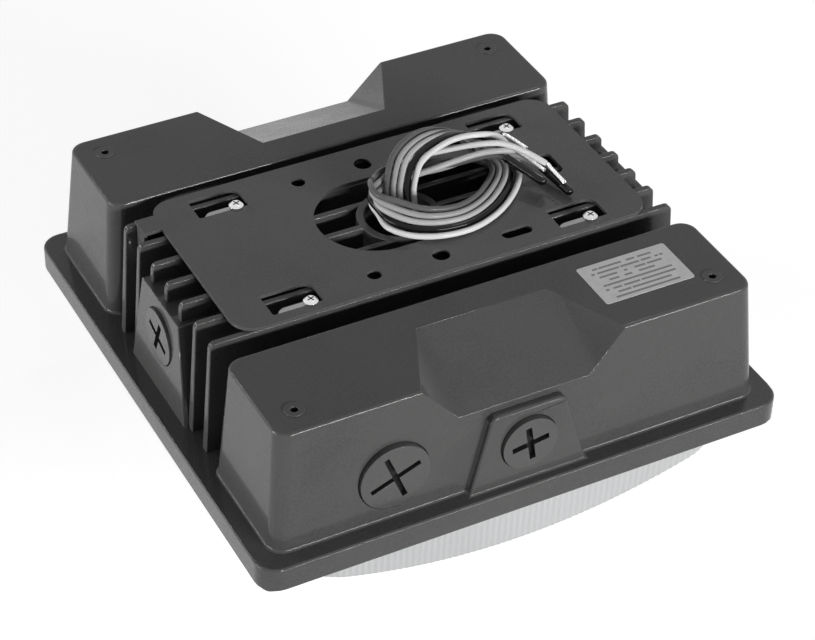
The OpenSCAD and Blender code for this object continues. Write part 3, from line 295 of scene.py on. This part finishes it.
def material(name, color, roughness, **sockets):
    """Principled material with constants on the shader's own sockets; also returns its node tree and shader."""
    mat = bpy.data.materials.new(name)
    mat.use_nodes = True
    tree = mat.node_tree
    shader = tree.nodes["Principled BSDF"]
    shader.inputs["Base Color"].default_value = (*color, 1)
    shader.inputs["Roughness"].default_value = roughness
    for key, value in sockets.items():
        shader.inputs[key.replace("_", " ").title().replace("Ior", "IOR")].default_value = value
    return mat, tree, shader


def add(tree, kind, inputs=None, **settings):
    """New node with its settings and input values; a value that is a socket is linked."""
    node = tree.nodes.new("ShaderNode" + kind)
    for key, value in settings.items():
        setattr(node, key, value)
    for key, value in (inputs or {}).items():
        if isinstance(value, bpy.types.NodeSocket):
            tree.links.new(value, node.inputs[key])
        else:
            node.inputs[key].default_value = value
    return node


def place(tree):
    """Object coordinates, in metres."""
    return add(tree, "TexCoord").outputs["Object"]


NOISE_LOW, NOISE_HIGH = 0.3, 0.7  # between these lies nearly all of a noise


def noise(tree, scale, detail=2.0, where=None):
    """Grey noise on object coordinates, scale in features per metre."""
    inputs = {"Vector": where or place(tree), "Scale": scale, "Detail": detail, "Roughness": 0.5}
    return add(tree, "TexNoise", inputs).outputs["Fac"]


def between(tree, value, low, high):
    """Noise spread between low and high."""
    inputs = {"Value": value, "From Min": NOISE_LOW, "From Max": NOISE_HIGH, "To Min": low, "To Max": high}
    return add(tree, "MapRange", inputs).outputs["Result"]


def shaded(tree, value, dark, light, start=NOISE_LOW, end=NOISE_HIGH):
    """Colour between dark and light, which a value reaches at start and at end."""
    ramp = add(tree, "ValToRGB", {"Fac": value})
    ramp.color_ramp.elements[0].position = start
    ramp.color_ramp.elements[1].position = end
    ramp.color_ramp.elements[0].color = (*dark, 1)
    ramp.color_ramp.elements[1].color = (*light, 1)
    return ramp.outputs["Color"]


def rough_surface(tree, shader, height, depth):
    """Bump of a real depth in metres."""
    bump = add(tree, "Bump", {"Height": height, "Distance": depth, "Strength": 1.0})
    tree.links.new(bump.outputs["Normal"], shader.inputs["Normal"])


def link(tree, output, shader, name):
    """Leads an output to a named input of the shader."""
    tree.links.new(output, shader.inputs[name])


def grey(value, warm=0.0):
    """Grey with a slight cool or warm cast."""
    return (value * (1 + warm), value, value * (1 - warm))


def powder_coat(name, tone, roughness, grain, depth, gloss):
    """Powder-coated metal: pebbled skin that also shows in its tone, faint blotches of tone and of sheen, and a glossy
    top coat of the given weight."""
    mat, tree, shader = material(name, grey(tone), roughness, specular_ior_level=0.05, coat_weight=gloss,
                                 coat_roughness=0.09)
    skin = noise(tree, grain, 2.0)
    blotch = noise(tree, 22, 3.0)
    mixed = add(tree, "Math", {0: skin, 1: blotch}, operation="ADD").outputs["Value"]
    link(tree, shaded(tree, mixed, grey(tone * 0.9), grey(tone * 1.1, 0.01), 0.75, 1.25), shader, "Base Color")
    link(tree, between(tree, noise(tree, 60, 4.0), roughness - 0.05, roughness + 0.06), shader, "Roughness")
    rough_surface(tree, shader, skin, depth)
    return mat


def bare_metal(name, tone, roughness, streak, depth, metal=0.82):
    """Machined or plated metal: fine lines, drawn out where streak scales them down, and slight stains."""
    mat, tree, shader = material(name, grey(tone), roughness, metallic=metal)
    stretched = add(tree, "Mapping", {"Vector": place(tree), "Scale": streak}).outputs["Vector"]
    lines = noise(tree, 900, 3.0, stretched)
    link(tree, shaded(tree, noise(tree, 130, 3.0), grey(tone * 0.86), grey(tone)), shader, "Base Color")
    link(tree, between(tree, lines, roughness - 0.06, roughness + 0.08), shader, "Roughness")
    rough_surface(tree, shader, lines, depth)
    return mat


def soft_rubber(name, tone):
    """Matte rubber with a dusty skin."""
    mat, tree, shader = material(name, grey(tone), 0.75, specular_ior_level=0.35)
    link(tree, shaded(tree, noise(tree, 240, 4.0), grey(tone * 0.8), grey(tone * 1.35)), shader, "Base Color")
    rough_surface(tree, shader, noise(tree, 1800, 2.0), 0.00004)
    return mat


def moulded(name, color, roughness, depth=0.00001, grain=700):
    """Plain moulded or painted plastic with a faint orange peel."""
    mat, tree, shader = material(name, color, roughness, specular_ior_level=0.3)
    light = tuple(min(1.0, c * 1.05) for c in color)
    dark = tuple(c * 0.94 for c in color)
    link(tree, shaded(tree, noise(tree, 45, 3.0), dark, light), shader, "Base Color")
    rough_surface(tree, shader, noise(tree, grain, 2.0), depth)
    return mat


def insulation(name, tone):
    """Glossy lead insulation, slightly uneven along its length."""
    mat, tree, shader = material(name, grey(tone), 0.13, specular_ior_level=0.2)
    along = add(tree, "Mapping", {"Vector": add(tree, "UVMap", uv_map="along").outputs["UV"],
                                  "Scale": (3.0, 0.7, 1.0)}).outputs["Vector"]
    link(tree, shaded(tree, noise(tree, 2.0, 3.0, along), grey(tone * 0.88), grey(min(1, tone * 1.08))), shader,
         "Base Color")
    link(tree, between(tree, noise(tree, 6.0, 2.0, along), 0.09, 0.17), shader, "Roughness")
    rough_surface(tree, shader, noise(tree, 420, 2.0), 0.00003)
    return mat


def frosted_lens():
    """Frosted plastic, milky in the body, with fine pits."""
    mat, tree, shader = material("lens_plastic", grey(0.5, -0.01), 0.34, specular_ior_level=0.5,
                                 transmission_weight=0.12)
    pits = add(tree, "TexVoronoi", {"Vector": place(tree), "Scale": 420}, feature="SMOOTH_F1")
    link(tree, shaded(tree, noise(tree, 18, 2.0), grey(0.56, -0.01), grey(0.6, -0.01)), shader, "Base Color")
    rough_surface(tree, shader, pits.outputs["Distance"], 0.00012)
    return mat


# The label's bars, in metres: the middle of their field, the first row's level, the rows' pitch, half the field's
# height, and half a row's least and further width
BARS_X, BARS_Y, FIRST_ROW, ROW_PITCH = 0.0715, -0.0837, -0.0960, 0.00295
BARS_HALF_HEIGHT, ROW_HALF, ROW_SPREAD = 0.0118, 0.0125, 0.006
BAR_SHARE, WORD_SCALE, WORD_STEP, WORD_GAP = 0.2, 330, 0.37, 0.36


def paper_label():
    """Satin label: rows of plain grey bars stand where a wiring note goes, with no letters. Noise along a row, other
    in each row, breaks it into bars, and each row ends at its own width."""
    mat, tree, shader = material("label_grey", grey(0.5), 0.42)
    xyz = add(tree, "SeparateXYZ", {"Vector": place(tree)})
    x, y = xyz.outputs["X"], xyz.outputs["Y"]

    def calc(operation, a, b=0.0):
        return add(tree, "Math", {0: a, 1: b}, operation=operation).outputs["Value"]

    rows = calc("MULTIPLY", calc("ADD", y, -FIRST_ROW), 1 / ROW_PITCH)
    row = calc("FLOOR", rows)
    in_row = calc("COMPARE", calc("FRACT", rows), 0.5)
    in_row.node.inputs[2].default_value = BAR_SHARE
    along_row = add(tree, "CombineXYZ", {"X": x, "Y": calc("MULTIPLY", row, WORD_STEP)}).outputs["Vector"]
    words = add(tree, "TexNoise", {"Vector": along_row, "Scale": WORD_SCALE, "Detail": 0.0}).outputs["Fac"]
    word = calc("GREATER_THAN", words, WORD_GAP)
    spread = add(tree, "TexWhiteNoise", {"W": row}, noise_dimensions="1D").outputs["Value"]
    reach = calc("ADD", calc("MULTIPLY", spread, ROW_SPREAD), ROW_HALF)
    in_width = calc("LESS_THAN", calc("ABSOLUTE", calc("SUBTRACT", x, BARS_X)), reach)
    in_height = calc("LESS_THAN", calc("ABSOLUTE", calc("ADD", y, -BARS_Y)), BARS_HALF_HEIGHT)
    bars = calc("MULTIPLY", calc("MULTIPLY", in_row, word), calc("MULTIPLY", in_width, in_height))
    paper = shaded(tree, noise(tree, 260, 3.0), grey(0.66), grey(0.74))
    mix = add(tree, "Mix", {0: bars, 6: paper, 7: (0.22, 0.22, 0.22, 1)}, data_type="RGBA")
    link(tree, mix.outputs[2], shader, "Base Color")
    rough_surface(tree, shader, noise(tree, 900, 2.0), 0.00001)
    return mat


MATERIALS = {
    "cast_housing": powder_coat("cast_housing", 0.073, 0.24, 1100, 0.00016, 0.36),
    "plug_painted": powder_coat("plug_painted", 0.082, 0.26, 1100, 0.00012, 0.36),
    "plate_steel": powder_coat("plate_steel", 0.104, 0.28, 900, 0.00025, 0.33),
    "milled_aluminium": bare_metal("milled_aluminium", 0.39, 0.5, (0.2, 1.0, 1.0), 0.00002, 0.6),
    "zinc_screws": bare_metal("zinc_screws", 0.72, 0.14, (1.0, 1.0, 1.0), 0.00003, 1.0),
    "bare_copper": bare_metal("bare_copper", 0.98, 0.25, (1.0, 1.0, 1.0), 0.00001),
    "seal_rubber": soft_rubber("seal_rubber", 0.03),
    "thermal_pad": soft_rubber("thermal_pad", 0.3),
    # painted shade: a near-black matte material on the faces inside the crosses of the plugs and hanging screws,
    # standing in for the shadow in their slots
    "painted_recess_shade": soft_rubber("painted_recess_shade", 0.006),
    "lens_plastic": frosted_lens(),
    "board_white": moulded("board_white", (0.8, 0.8, 0.79), 0.4),
    "phosphor": moulded("phosphor", (0.8, 0.68, 0.25), 0.5),
    "reflector_white": moulded("reflector_white", (0.82, 0.82, 0.81), 0.22),
    "driver_case": bare_metal("driver_case", 0.6, 0.4, (0.1, 1.0, 1.0), 0.00002),
    "potted_black": moulded("potted_black", (0.03, 0.03, 0.03), 0.45),
    "label_grey": paper_label(),
    "cap_black": moulded("cap_black", (0.004, 0.004, 0.004), 0.09, 0.00001, 300),
    "lead_dark": insulation("lead_dark", 0.005),
    "lead_white": insulation("lead_white", 0.84),
    "lead_light": insulation("lead_light", 0.54),
    "lead_mid": insulation("lead_mid", 0.13),
    "lead_pale": insulation("lead_pale", 0.41)}


def finish_piece(piece, slot):
    """Gives a new piece the material of a slot of the record."""
    piece.data.materials.clear()
    piece.data.materials.append(MATERIALS[slot])


LEAD_SLOTS = {"dim_plus_lead": "lead_mid", "dim_minus_lead": "lead_pale", "ground_lead": "lead_light",
              "line_lead": "lead_dark", "neutral_lead": "lead_white"}
for name, (lead, end) in leads.items():
    finish_piece(lead, LEAD_SLOTS[name])
    finish_piece(end, "bare_copper" if name in STRAND_WAYS else "cap_black")


# Rigid parts: copies of their meshes with merged faces and rounded edges

def merged_copy(node):
    """Copy of a node's mesh with its doubles merged and its flat triangles joined to faces."""
    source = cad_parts[node].data
    bm = bmesh.new()
    bm.from_mesh(source)
    bmesh.ops.remove_doubles(bm, verts=bm.verts, dist=2e-6)
    bmesh.ops.dissolve_limit(bm, angle_limit=math.radians(0.6), verts=bm.verts, edges=bm.edges,
                             delimit={"NORMAL"})
    return bm


LEAST_ANGLE = math.radians(15)  # edges flatter than this belong to curved faces and stay
SHARP_ANGLE = math.radians(30)
JOIN_DISTANCE = 0.00001


def rounded_piece(node, body, slot, width, segments=2, weight=None):
    """Copy of a node with its sharp edges rounded; weight(middle, angle) gives each edge's share of the width, and
    without it every edge has the whole width."""
    bm = merged_copy(node)
    layer = bm.edges.layers.float.new("bevel_weight_edge")
    for edge in bm.edges:
        if len(edge.link_faces) == 2:
            angle = edge.calc_face_angle_signed(0.0)
            middle = (edge.verts[0].co + edge.verts[1].co) / (2 * MM)
            if abs(angle) > LEAST_ANGLE:
                edge[layer] = 1.0 if weight is None else weight(middle, angle)
    mesh = bpy.data.meshes.new(node + "_finished")
    bm.to_mesh(mesh)
    bm.free()
    mesh.shade_smooth()
    mesh.set_sharp_from_angle(angle=SHARP_ANGLE)
    piece = bpy.data.objects.new(node + "_finished", mesh)
    scene.collection.objects.link(piece)
    finish_piece(piece, slot)
    bevel = piece.modifiers.new("rounded edges", "BEVEL")
    bevel.width = width * MM
    bevel.segments = segments
    bevel.limit_method = "WEIGHT"
    bevel.use_clamp_overlap = weight is None
    joined = piece.modifiers.new("joined points", "WELD")
    joined.merge_threshold = JOIN_DISTANCE
    even = piece.modifiers.new("flat faces", "WEIGHTED_NORMAL")
    even.weight = 60
    even.keep_sharp = True
    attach(piece, body)
    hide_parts(node)
    return piece


# Seats of the plug heads: the axis that they lie across, the middle's place on it, its level and the radius, in mm
SEATS = ((0, -62, -38.6, 16.8), (0, 0, -40.4, 12.9), (1, 0, -29.6, 12.9))
# Places on the housing, in mm from its middle: the blocks' inner side, just inside the flange's side, and the recesses'
# ends, back and lowest level
BLOCK_INNER, FLANGE_SIDE = 54, 126
RECESS_X, RECESS_Y, RECESS_LEVEL = 49.5, 75.6, FLANGE_TOP + 38


def at_seat(middle):
    """Whether a place lies on the rim of a plug's seat."""
    for axis, centre, level, radius in SEATS:
        across, out = (middle.x, abs(middle.y)) if axis == 0 else (middle.y, abs(middle.x))
        if out > 100 and abs(math.hypot(across - centre, middle.z - level) - radius) < 0.9:
            return True
    return False


def housing_weight(middle, angle):
    """Wide rounding on the flange, blocks and pads, less on the tops, recesses, fins, towers and seats. Of the inner
    corners only the blocks' feet are filled, and nothing under the flange's top is rounded but its own rim."""
    x, y, z = abs(middle.x), abs(middle.y), middle.z
    if angle < 0:
        return 0.9 if abs(z - FLANGE_TOP) < 0.1 and y > BLOCK_INNER else 0.0
    if z < FLANGE_FOOT + 0.5:
        return 0.8 if max(x, y) > FLANGE_SIDE else 0.0
    if z < FLANGE_TOP - 0.5:
        return 0.0
    if at_seat(middle):
        return 0.15
    if y > BLOCK_INNER and z > BLOCK_TOP - 1.4:
        return 0.3
    if x < RECESS_X and y > RECESS_Y and z > RECESS_LEVEL:
        return 0.35
    return 1.0 if y > BLOCK_INNER else 0.45


def face_middles(piece):
    """Middle of each face, in mm."""
    return np.array([face.center[:] for face in piece.data.polygons]) / MM


def give_faces(piece, chosen, slot):
    """Gives the chosen faces of a piece a second material."""
    piece.data.materials.append(MATERIALS[slot])
    piece.data.polygons.foreach_set("material_index", chosen.astype(np.int32))


def mill_pads(piece):
    """Bare milled metal on the pads that the plate's screws stand in: the upward faces at their level."""
    up = np.array([face.normal[:] for face in piece.data.polygons])[:, 2]
    give_faces(piece, (abs(face_middles(piece)[:, 2] - MILLED_TOP) < 0.05) & (up > 0.9), "milled_aluminium")


mill_pads(rounded_piece("housing", "fixture", "cast_housing", 1.1, 3, housing_weight))
rounded_piece("mounting_plate", "bracket", "plate_steel", 0.35)

# Closure plugs: the axis that each stands along, the way it points and the reach of its cross, in mm
PLUGS = {"front_large": (1, -1, 13.0), "front_small": (1, -1, 9.0), "rear_small": (1, 1, 9.0), "left": (0, -1, 9.0),
         "right": (0, 1, 9.0)}
PLUG_CROSS = (0.4, 3.3)  # depths between which the faces of a plug's cross lie
SCREW_CROSS, SCREW_CROSS_REACH = (0.45, 2), 1.9


def shade_recess(piece, axis, outward, reach):
    """Painted shade in a plug's cross: near-black faces between two depths and near the head's own axis."""
    centres = face_middles(piece)
    depth = (centres[:, axis] * outward).max() - centres[:, axis] * outward
    others = [i for i in range(3) if i != axis]
    middle = (centres[:, others].max(axis=0) + centres[:, others].min(axis=0)) / 2
    near = np.linalg.norm(centres[:, others] - middle, axis=1) < reach
    give_faces(piece, (depth > PLUG_CROSS[0]) & (depth < PLUG_CROSS[1]) & near, "painted_recess_shade")


def shade_crosses(piece):
    """Painted shade in the crosses of the four hanging screws: near-black faces, one cross in each quarter seen from
    above.
    """
    centres = face_middles(piece)
    middle = (centres.max(axis=0) + centres.min(axis=0)) / 2
    quarter = (centres[:, 0] > middle[0]) * 2 + (centres[:, 1] > middle[1])
    dark = np.zeros(len(centres), bool)
    for q in range(4):
        of_one = quarter == q
        axis = (centres[of_one].max(axis=0) + centres[of_one].min(axis=0)) / 2
        depth = centres[of_one, 2].max() - centres[:, 2]
        near = np.linalg.norm(centres[:, :2] - axis[:2], axis=1) < SCREW_CROSS_REACH
        dark |= of_one & near & (depth > SCREW_CROSS[0]) & (depth < SCREW_CROSS[1])
    give_faces(piece, dark, "painted_recess_shade")


# painted shade goes into the crosses of the plugs and of the hanging screws
for name, (axis, outward, reach) in PLUGS.items():
    shade_recess(rounded_piece(name + "_plug", name + "_plug", "plug_painted", 0.25), axis, outward, reach)
shade_crosses(rounded_piece("plate_screws", "fixture", "zinc_screws", 0.3))
for name in ("lock_screw", "lens_screws"):
    rounded_piece(name, "fixture", "zinc_screws", 0.3)


# Lens

LENS_X, LENS_Y, LENS_CORNER, LENS_WALL = 104.0, 120.0, 18.0, 2.2
DOME_RADIUS, LENS_DEPTH = 316.0, 27.0
FLUTES, FLUTE_DEPTH, FLUTE_COLUMNS = 288, 0.38, 4
LIP_TOP, LIP_FOOT, LIP_SIDE, LIP_CORNER, LIP_COLUMNS = -67.1, -69.7, 122.0, 6.0, 160
# Rings of the bowl: shares of the wall's height, then how far in and up the rounded edge goes, then shares of the dome
WALL_RINGS = (0, 0.15, 0.35, 0.6, 0.85, 1.0)
EDGE_RINGS = ((1.1, 1.2), (1.6, 0.6), (2.6, 0.15))
DOME_RINGS = (0.965, 0.94, 0.9, 0.83, 0.74, 0.64, 0.54, 0.44, 0.34, 0.24, 0.15, 0.07, 0.012)
WALL_LEAN, EDGE_RISE = 0.9, 2.4


def lens_outline(draw_in, count):
    """Rounded rectangle by arc length: straight sides and quarter circles, drawn in, with its outward normals."""
    a, b, r = LENS_X - LENS_CORNER, LENS_Y - LENS_CORNER, LENS_CORNER
    arc = math.pi * r / 2
    total = 4 * (a + b) + 4 * arc
    s = np.arange(count) * total / count
    runs = np.array([b, arc, 2 * a, arc, 2 * b, arc, 2 * a, arc, b])
    starts = np.r_[0, np.cumsum(runs)]
    k = np.clip(np.searchsorted(starts, s, side="right") - 1, 0, 8)
    t = s - starts[k]
    turn = np.where(k % 2 == 1, t / r, 0)
    angle = (k // 2) * math.pi / 2 + turn
    corner = np.array([(a, b), (-a, b), (-a, -b), (a, -b), (a, b)])
    normal = np.stack([np.cos(angle), np.sin(angle)], -1)
    along = np.stack([-np.sin(angle), np.cos(angle)], -1)
    # a straight run starts at the end of the corner before it; the first starts in the middle of its side
    side_start = np.array([(a, 0), (0, 0), (a, b), (0, 0), (-a, b), (0, 0), (-a, -b), (0, 0), (a, -b)], float)
    straight = side_start[k] + along * t[:, None] + normal * r
    bend = corner[np.minimum(k // 2, 4)] + normal * r
    point = np.where((k % 2 == 1)[:, None], bend, straight)
    return point - normal * draw_in, normal


def dome_level(distance, draw_in=0.0):
    """Level of the lens's domed underside: a sphere whose edge lies 27 mm under the flange at the front's middle."""
    rim = math.sqrt(DOME_RADIUS ** 2 - LENS_Y ** 2)
    return FLANGE_FOOT - LENS_DEPTH - (np.sqrt(DOME_RADIUS ** 2 - distance ** 2) - rim) + draw_in


def lens_shell(draw_in, flute, columns, top):
    """Rings of the bowl: down the wall, round its lower edge and in over the dome. The flutes are half waves that
    cut into the wall and fade over the edge."""
    outline, normal = lens_outline(draw_in, columns)
    wave = np.abs(np.cos(np.pi * FLUTES * np.arange(columns) / columns)) * flute
    edge = dome_level(np.linalg.norm(outline, axis=1), draw_in)
    rings = []
    for share in WALL_RINGS:
        level = top + (edge + EDGE_RISE - top) * share
        rings.append(np.column_stack([outline - normal * (wave + WALL_LEAN * share)[:, None], level]))
    for cut, rise in EDGE_RINGS:
        fade = 1 - cut / 5
        rings.append(np.column_stack([outline - normal * (wave * fade + cut)[:, None], edge + rise]))
    for share in DOME_RINGS:
        flat = outline * share
        rings.append(np.column_stack([flat, dome_level(np.linalg.norm(flat, axis=1), draw_in)]))
    return np.array(rings)


def lens_piece(name, points, faces, sharp):
    """Piece of the lens, riding on the fixture."""
    piece = mesh_piece(name, points.reshape(-1, 3) * MM, faces, sharp=sharp)
    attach(piece, "fixture")
    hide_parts("lens")
    finish_piece(piece, "lens_plastic")


def make_bowl():
    """Bowl of an outer fluted shell and an inner smooth one with fewer rings, joined at the top."""
    columns = FLUTES * FLUTE_COLUMNS
    outer = lens_shell(0.0, FLUTE_DEPTH, columns, LIP_FOOT + 0.3)
    inner = lens_shell(LENS_WALL, 0.0, columns, LIP_FOOT + 0.3)[[0, 5, 7, 9, 11, 13, 15, 17, 19, 21]]
    rings = np.concatenate([outer[::-1], inner])
    lens_piece("lens_bowl", rings, [grid_faces(len(rings), columns)] + end_faces(len(rings), columns), 55)


def make_lip():
    """Flat lip round the bowl: a rounded square whose hole follows the bowl's outline at the same turn."""
    t = np.arange(LIP_COLUMNS) * 2 * math.pi / LIP_COLUMNS
    square = np.stack([np.cos(t), np.sin(t)], -1)
    square = square / np.max(np.abs(square), axis=1)[:, None] * LIP_SIDE
    pull = np.clip(np.abs(square) - (LIP_SIDE - LIP_CORNER), 0, None)
    far = np.linalg.norm(pull, axis=1)
    too_far = np.where(far > LIP_CORNER, (far - LIP_CORNER) / np.maximum(far, 1e-9), 0)
    square -= np.sign(square) * pull * too_far[:, None]
    hole, _ = lens_outline(0.5, LIP_COLUMNS * 4)
    around = np.arctan2(hole[:, 1], hole[:, 0]) % (2 * math.pi)
    hole = hole[[np.argmin(np.abs((around - a + math.pi) % (2 * math.pi) - math.pi)) for a in t]]
    ring = [np.column_stack([edge, np.full(LIP_COLUMNS, level)]) for edge, level in
            ((hole, LIP_TOP), (square, LIP_TOP), (square, LIP_FOOT), (hole, LIP_FOOT), (hole, LIP_TOP))]
    lens_piece("lens_lip", np.array(ring), [grid_faces(len(ring), LIP_COLUMNS)[:, ::-1]], 40)


make_bowl()
make_lip()


# Parts whose own mesh stays

KEPT = {"wire_seal": "seal_rubber", "lens_gasket": "seal_rubber", "left_board": "board_white",
        "right_board": "board_white", "left_thermal_pad": "thermal_pad", "right_thermal_pad": "thermal_pad",
        "light_packages": "phosphor", "board_screws": "zinc_screws", "reflector": "reflector_white",
        "reflector_screws": "zinc_screws", "driver": "driver_case", "driver_screws": "zinc_screws",
        "surge_protector": "potted_black", "surge_screws": "zinc_screws", "wiring_label": "label_grey"}
KEPT.update({name + "_ring": "seal_rubber" for name in PLUGS})
for name, slot in KEPT.items():
    for own_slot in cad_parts[name].material_slots:
        own_slot.material = MATERIALS[slot]


# Floor and lamps

FLOOR_HALF = 6.0
FLOOR_TONE, SHOWN_TONE, SHOWN_GLOW = 0.8, 0.5, 0.8  # the floor's own grey, and what the background's rays see of it
AMBIENT = 0.05
# Lamps: place, length and height in metres, and power in watts
LAMPS = {
    "left lamp": ((-1.8, 0.3, 0.1), (1.0, 0.3), 19.5),
    "left edge lamp": ((-1.2, 1.2, 0.6), (0.45, 0.1), 4.7),
    "front lamp": ((0.45, -1.72, 0.4), (1.3, 0.14), 30),
    "top lamp": ((0.5, -0.1, 1.5), (0.8, 0.8), 1.2),
    "right top lamp": ((0.75, 0.6, 1.3), (0.12, 0.12), 1.3)}
LAMPS_TARGET = (0, 0, -0.04)


def background_rays(tree):
    """One for the rays that see the background itself: from the camera, off glossy surfaces and through clear ones."""
    path = add(tree, "LightPath").outputs
    seen = add(tree, "Math", {0: path["Is Camera Ray"], 1: path["Is Glossy Ray"]}, operation="MAXIMUM").outputs[0]
    return add(tree, "Math", {0: seen, 1: path["Is Transmission Ray"]}, operation="MAXIMUM").outputs[0]


def pale_floor():
    """Pale floor under the lens: it shows white with a faint shadow, and lights the object as a plain pale floor."""
    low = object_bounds()[0].z
    points = np.array([(x * FLOOR_HALF, y * FLOOR_HALF, low) for x, y in ((-1, -1), (1, -1), (1, 1), (-1, 1))])
    floor = mesh_piece("floor", points, [np.arange(4)[None]])
    mat = bpy.data.materials.new("floor")
    mat.use_nodes = True
    tree = mat.node_tree
    tree.nodes.clear()
    out = tree.nodes.new("ShaderNodeOutputMaterial")
    seen = background_rays(tree)
    plain = add(tree, "BsdfDiffuse", {"Color": (*grey(FLOOR_TONE), 1)})
    dim = add(tree, "BsdfDiffuse", {"Color": (*grey(SHOWN_TONE), 1)})
    glow = add(tree, "Emission", {"Color": (1, 1, 1, 1), "Strength": SHOWN_GLOW})
    shown = add(tree, "AddShader", {0: dim.outputs[0], 1: glow.outputs[0]})
    mix = add(tree, "MixShader", {0: seen, 1: plain.outputs[0], 2: shown.outputs[0]})
    tree.links.new(mix.outputs[0], out.inputs["Surface"])
    floor.data.materials.append(mat)


def lamp(name, where, size, power):
    """Soft rectangular lamp that looks at the lamps' target."""
    light = bpy.data.objects.new(name, bpy.data.lights.new(name, "AREA"))
    light.data.shape = "RECTANGLE"
    light.data.size, light.data.size_y = size
    light.data.energy = power
    scene.collection.objects.link(light)
    way = np.array(LAMPS_TARGET, float) - np.array(where, float)
    back = -way / np.linalg.norm(way)
    side = np.cross([0, 0, 1], back)
    side /= np.linalg.norm(side)
    light.matrix_world = standing_matrix(side, np.cross(back, side), back, where)


def plain_world():
    """Dim even light, and white for the rays that see the background."""
    world = bpy.data.worlds.new("studio")
    scene.world = world
    world.use_nodes = True
    tree = world.node_tree
    background = tree.nodes["Background"]
    background.inputs["Color"].default_value = (1, 1, 1, 1)
    seen = add(tree, "Math", {0: background_rays(tree), 1: AMBIENT}, operation="MAXIMUM")
    tree.links.new(seen.outputs[0], background.inputs["Strength"])


pale_floor()
for name, settings in LAMPS.items():
    lamp(name, *settings)
plain_world()
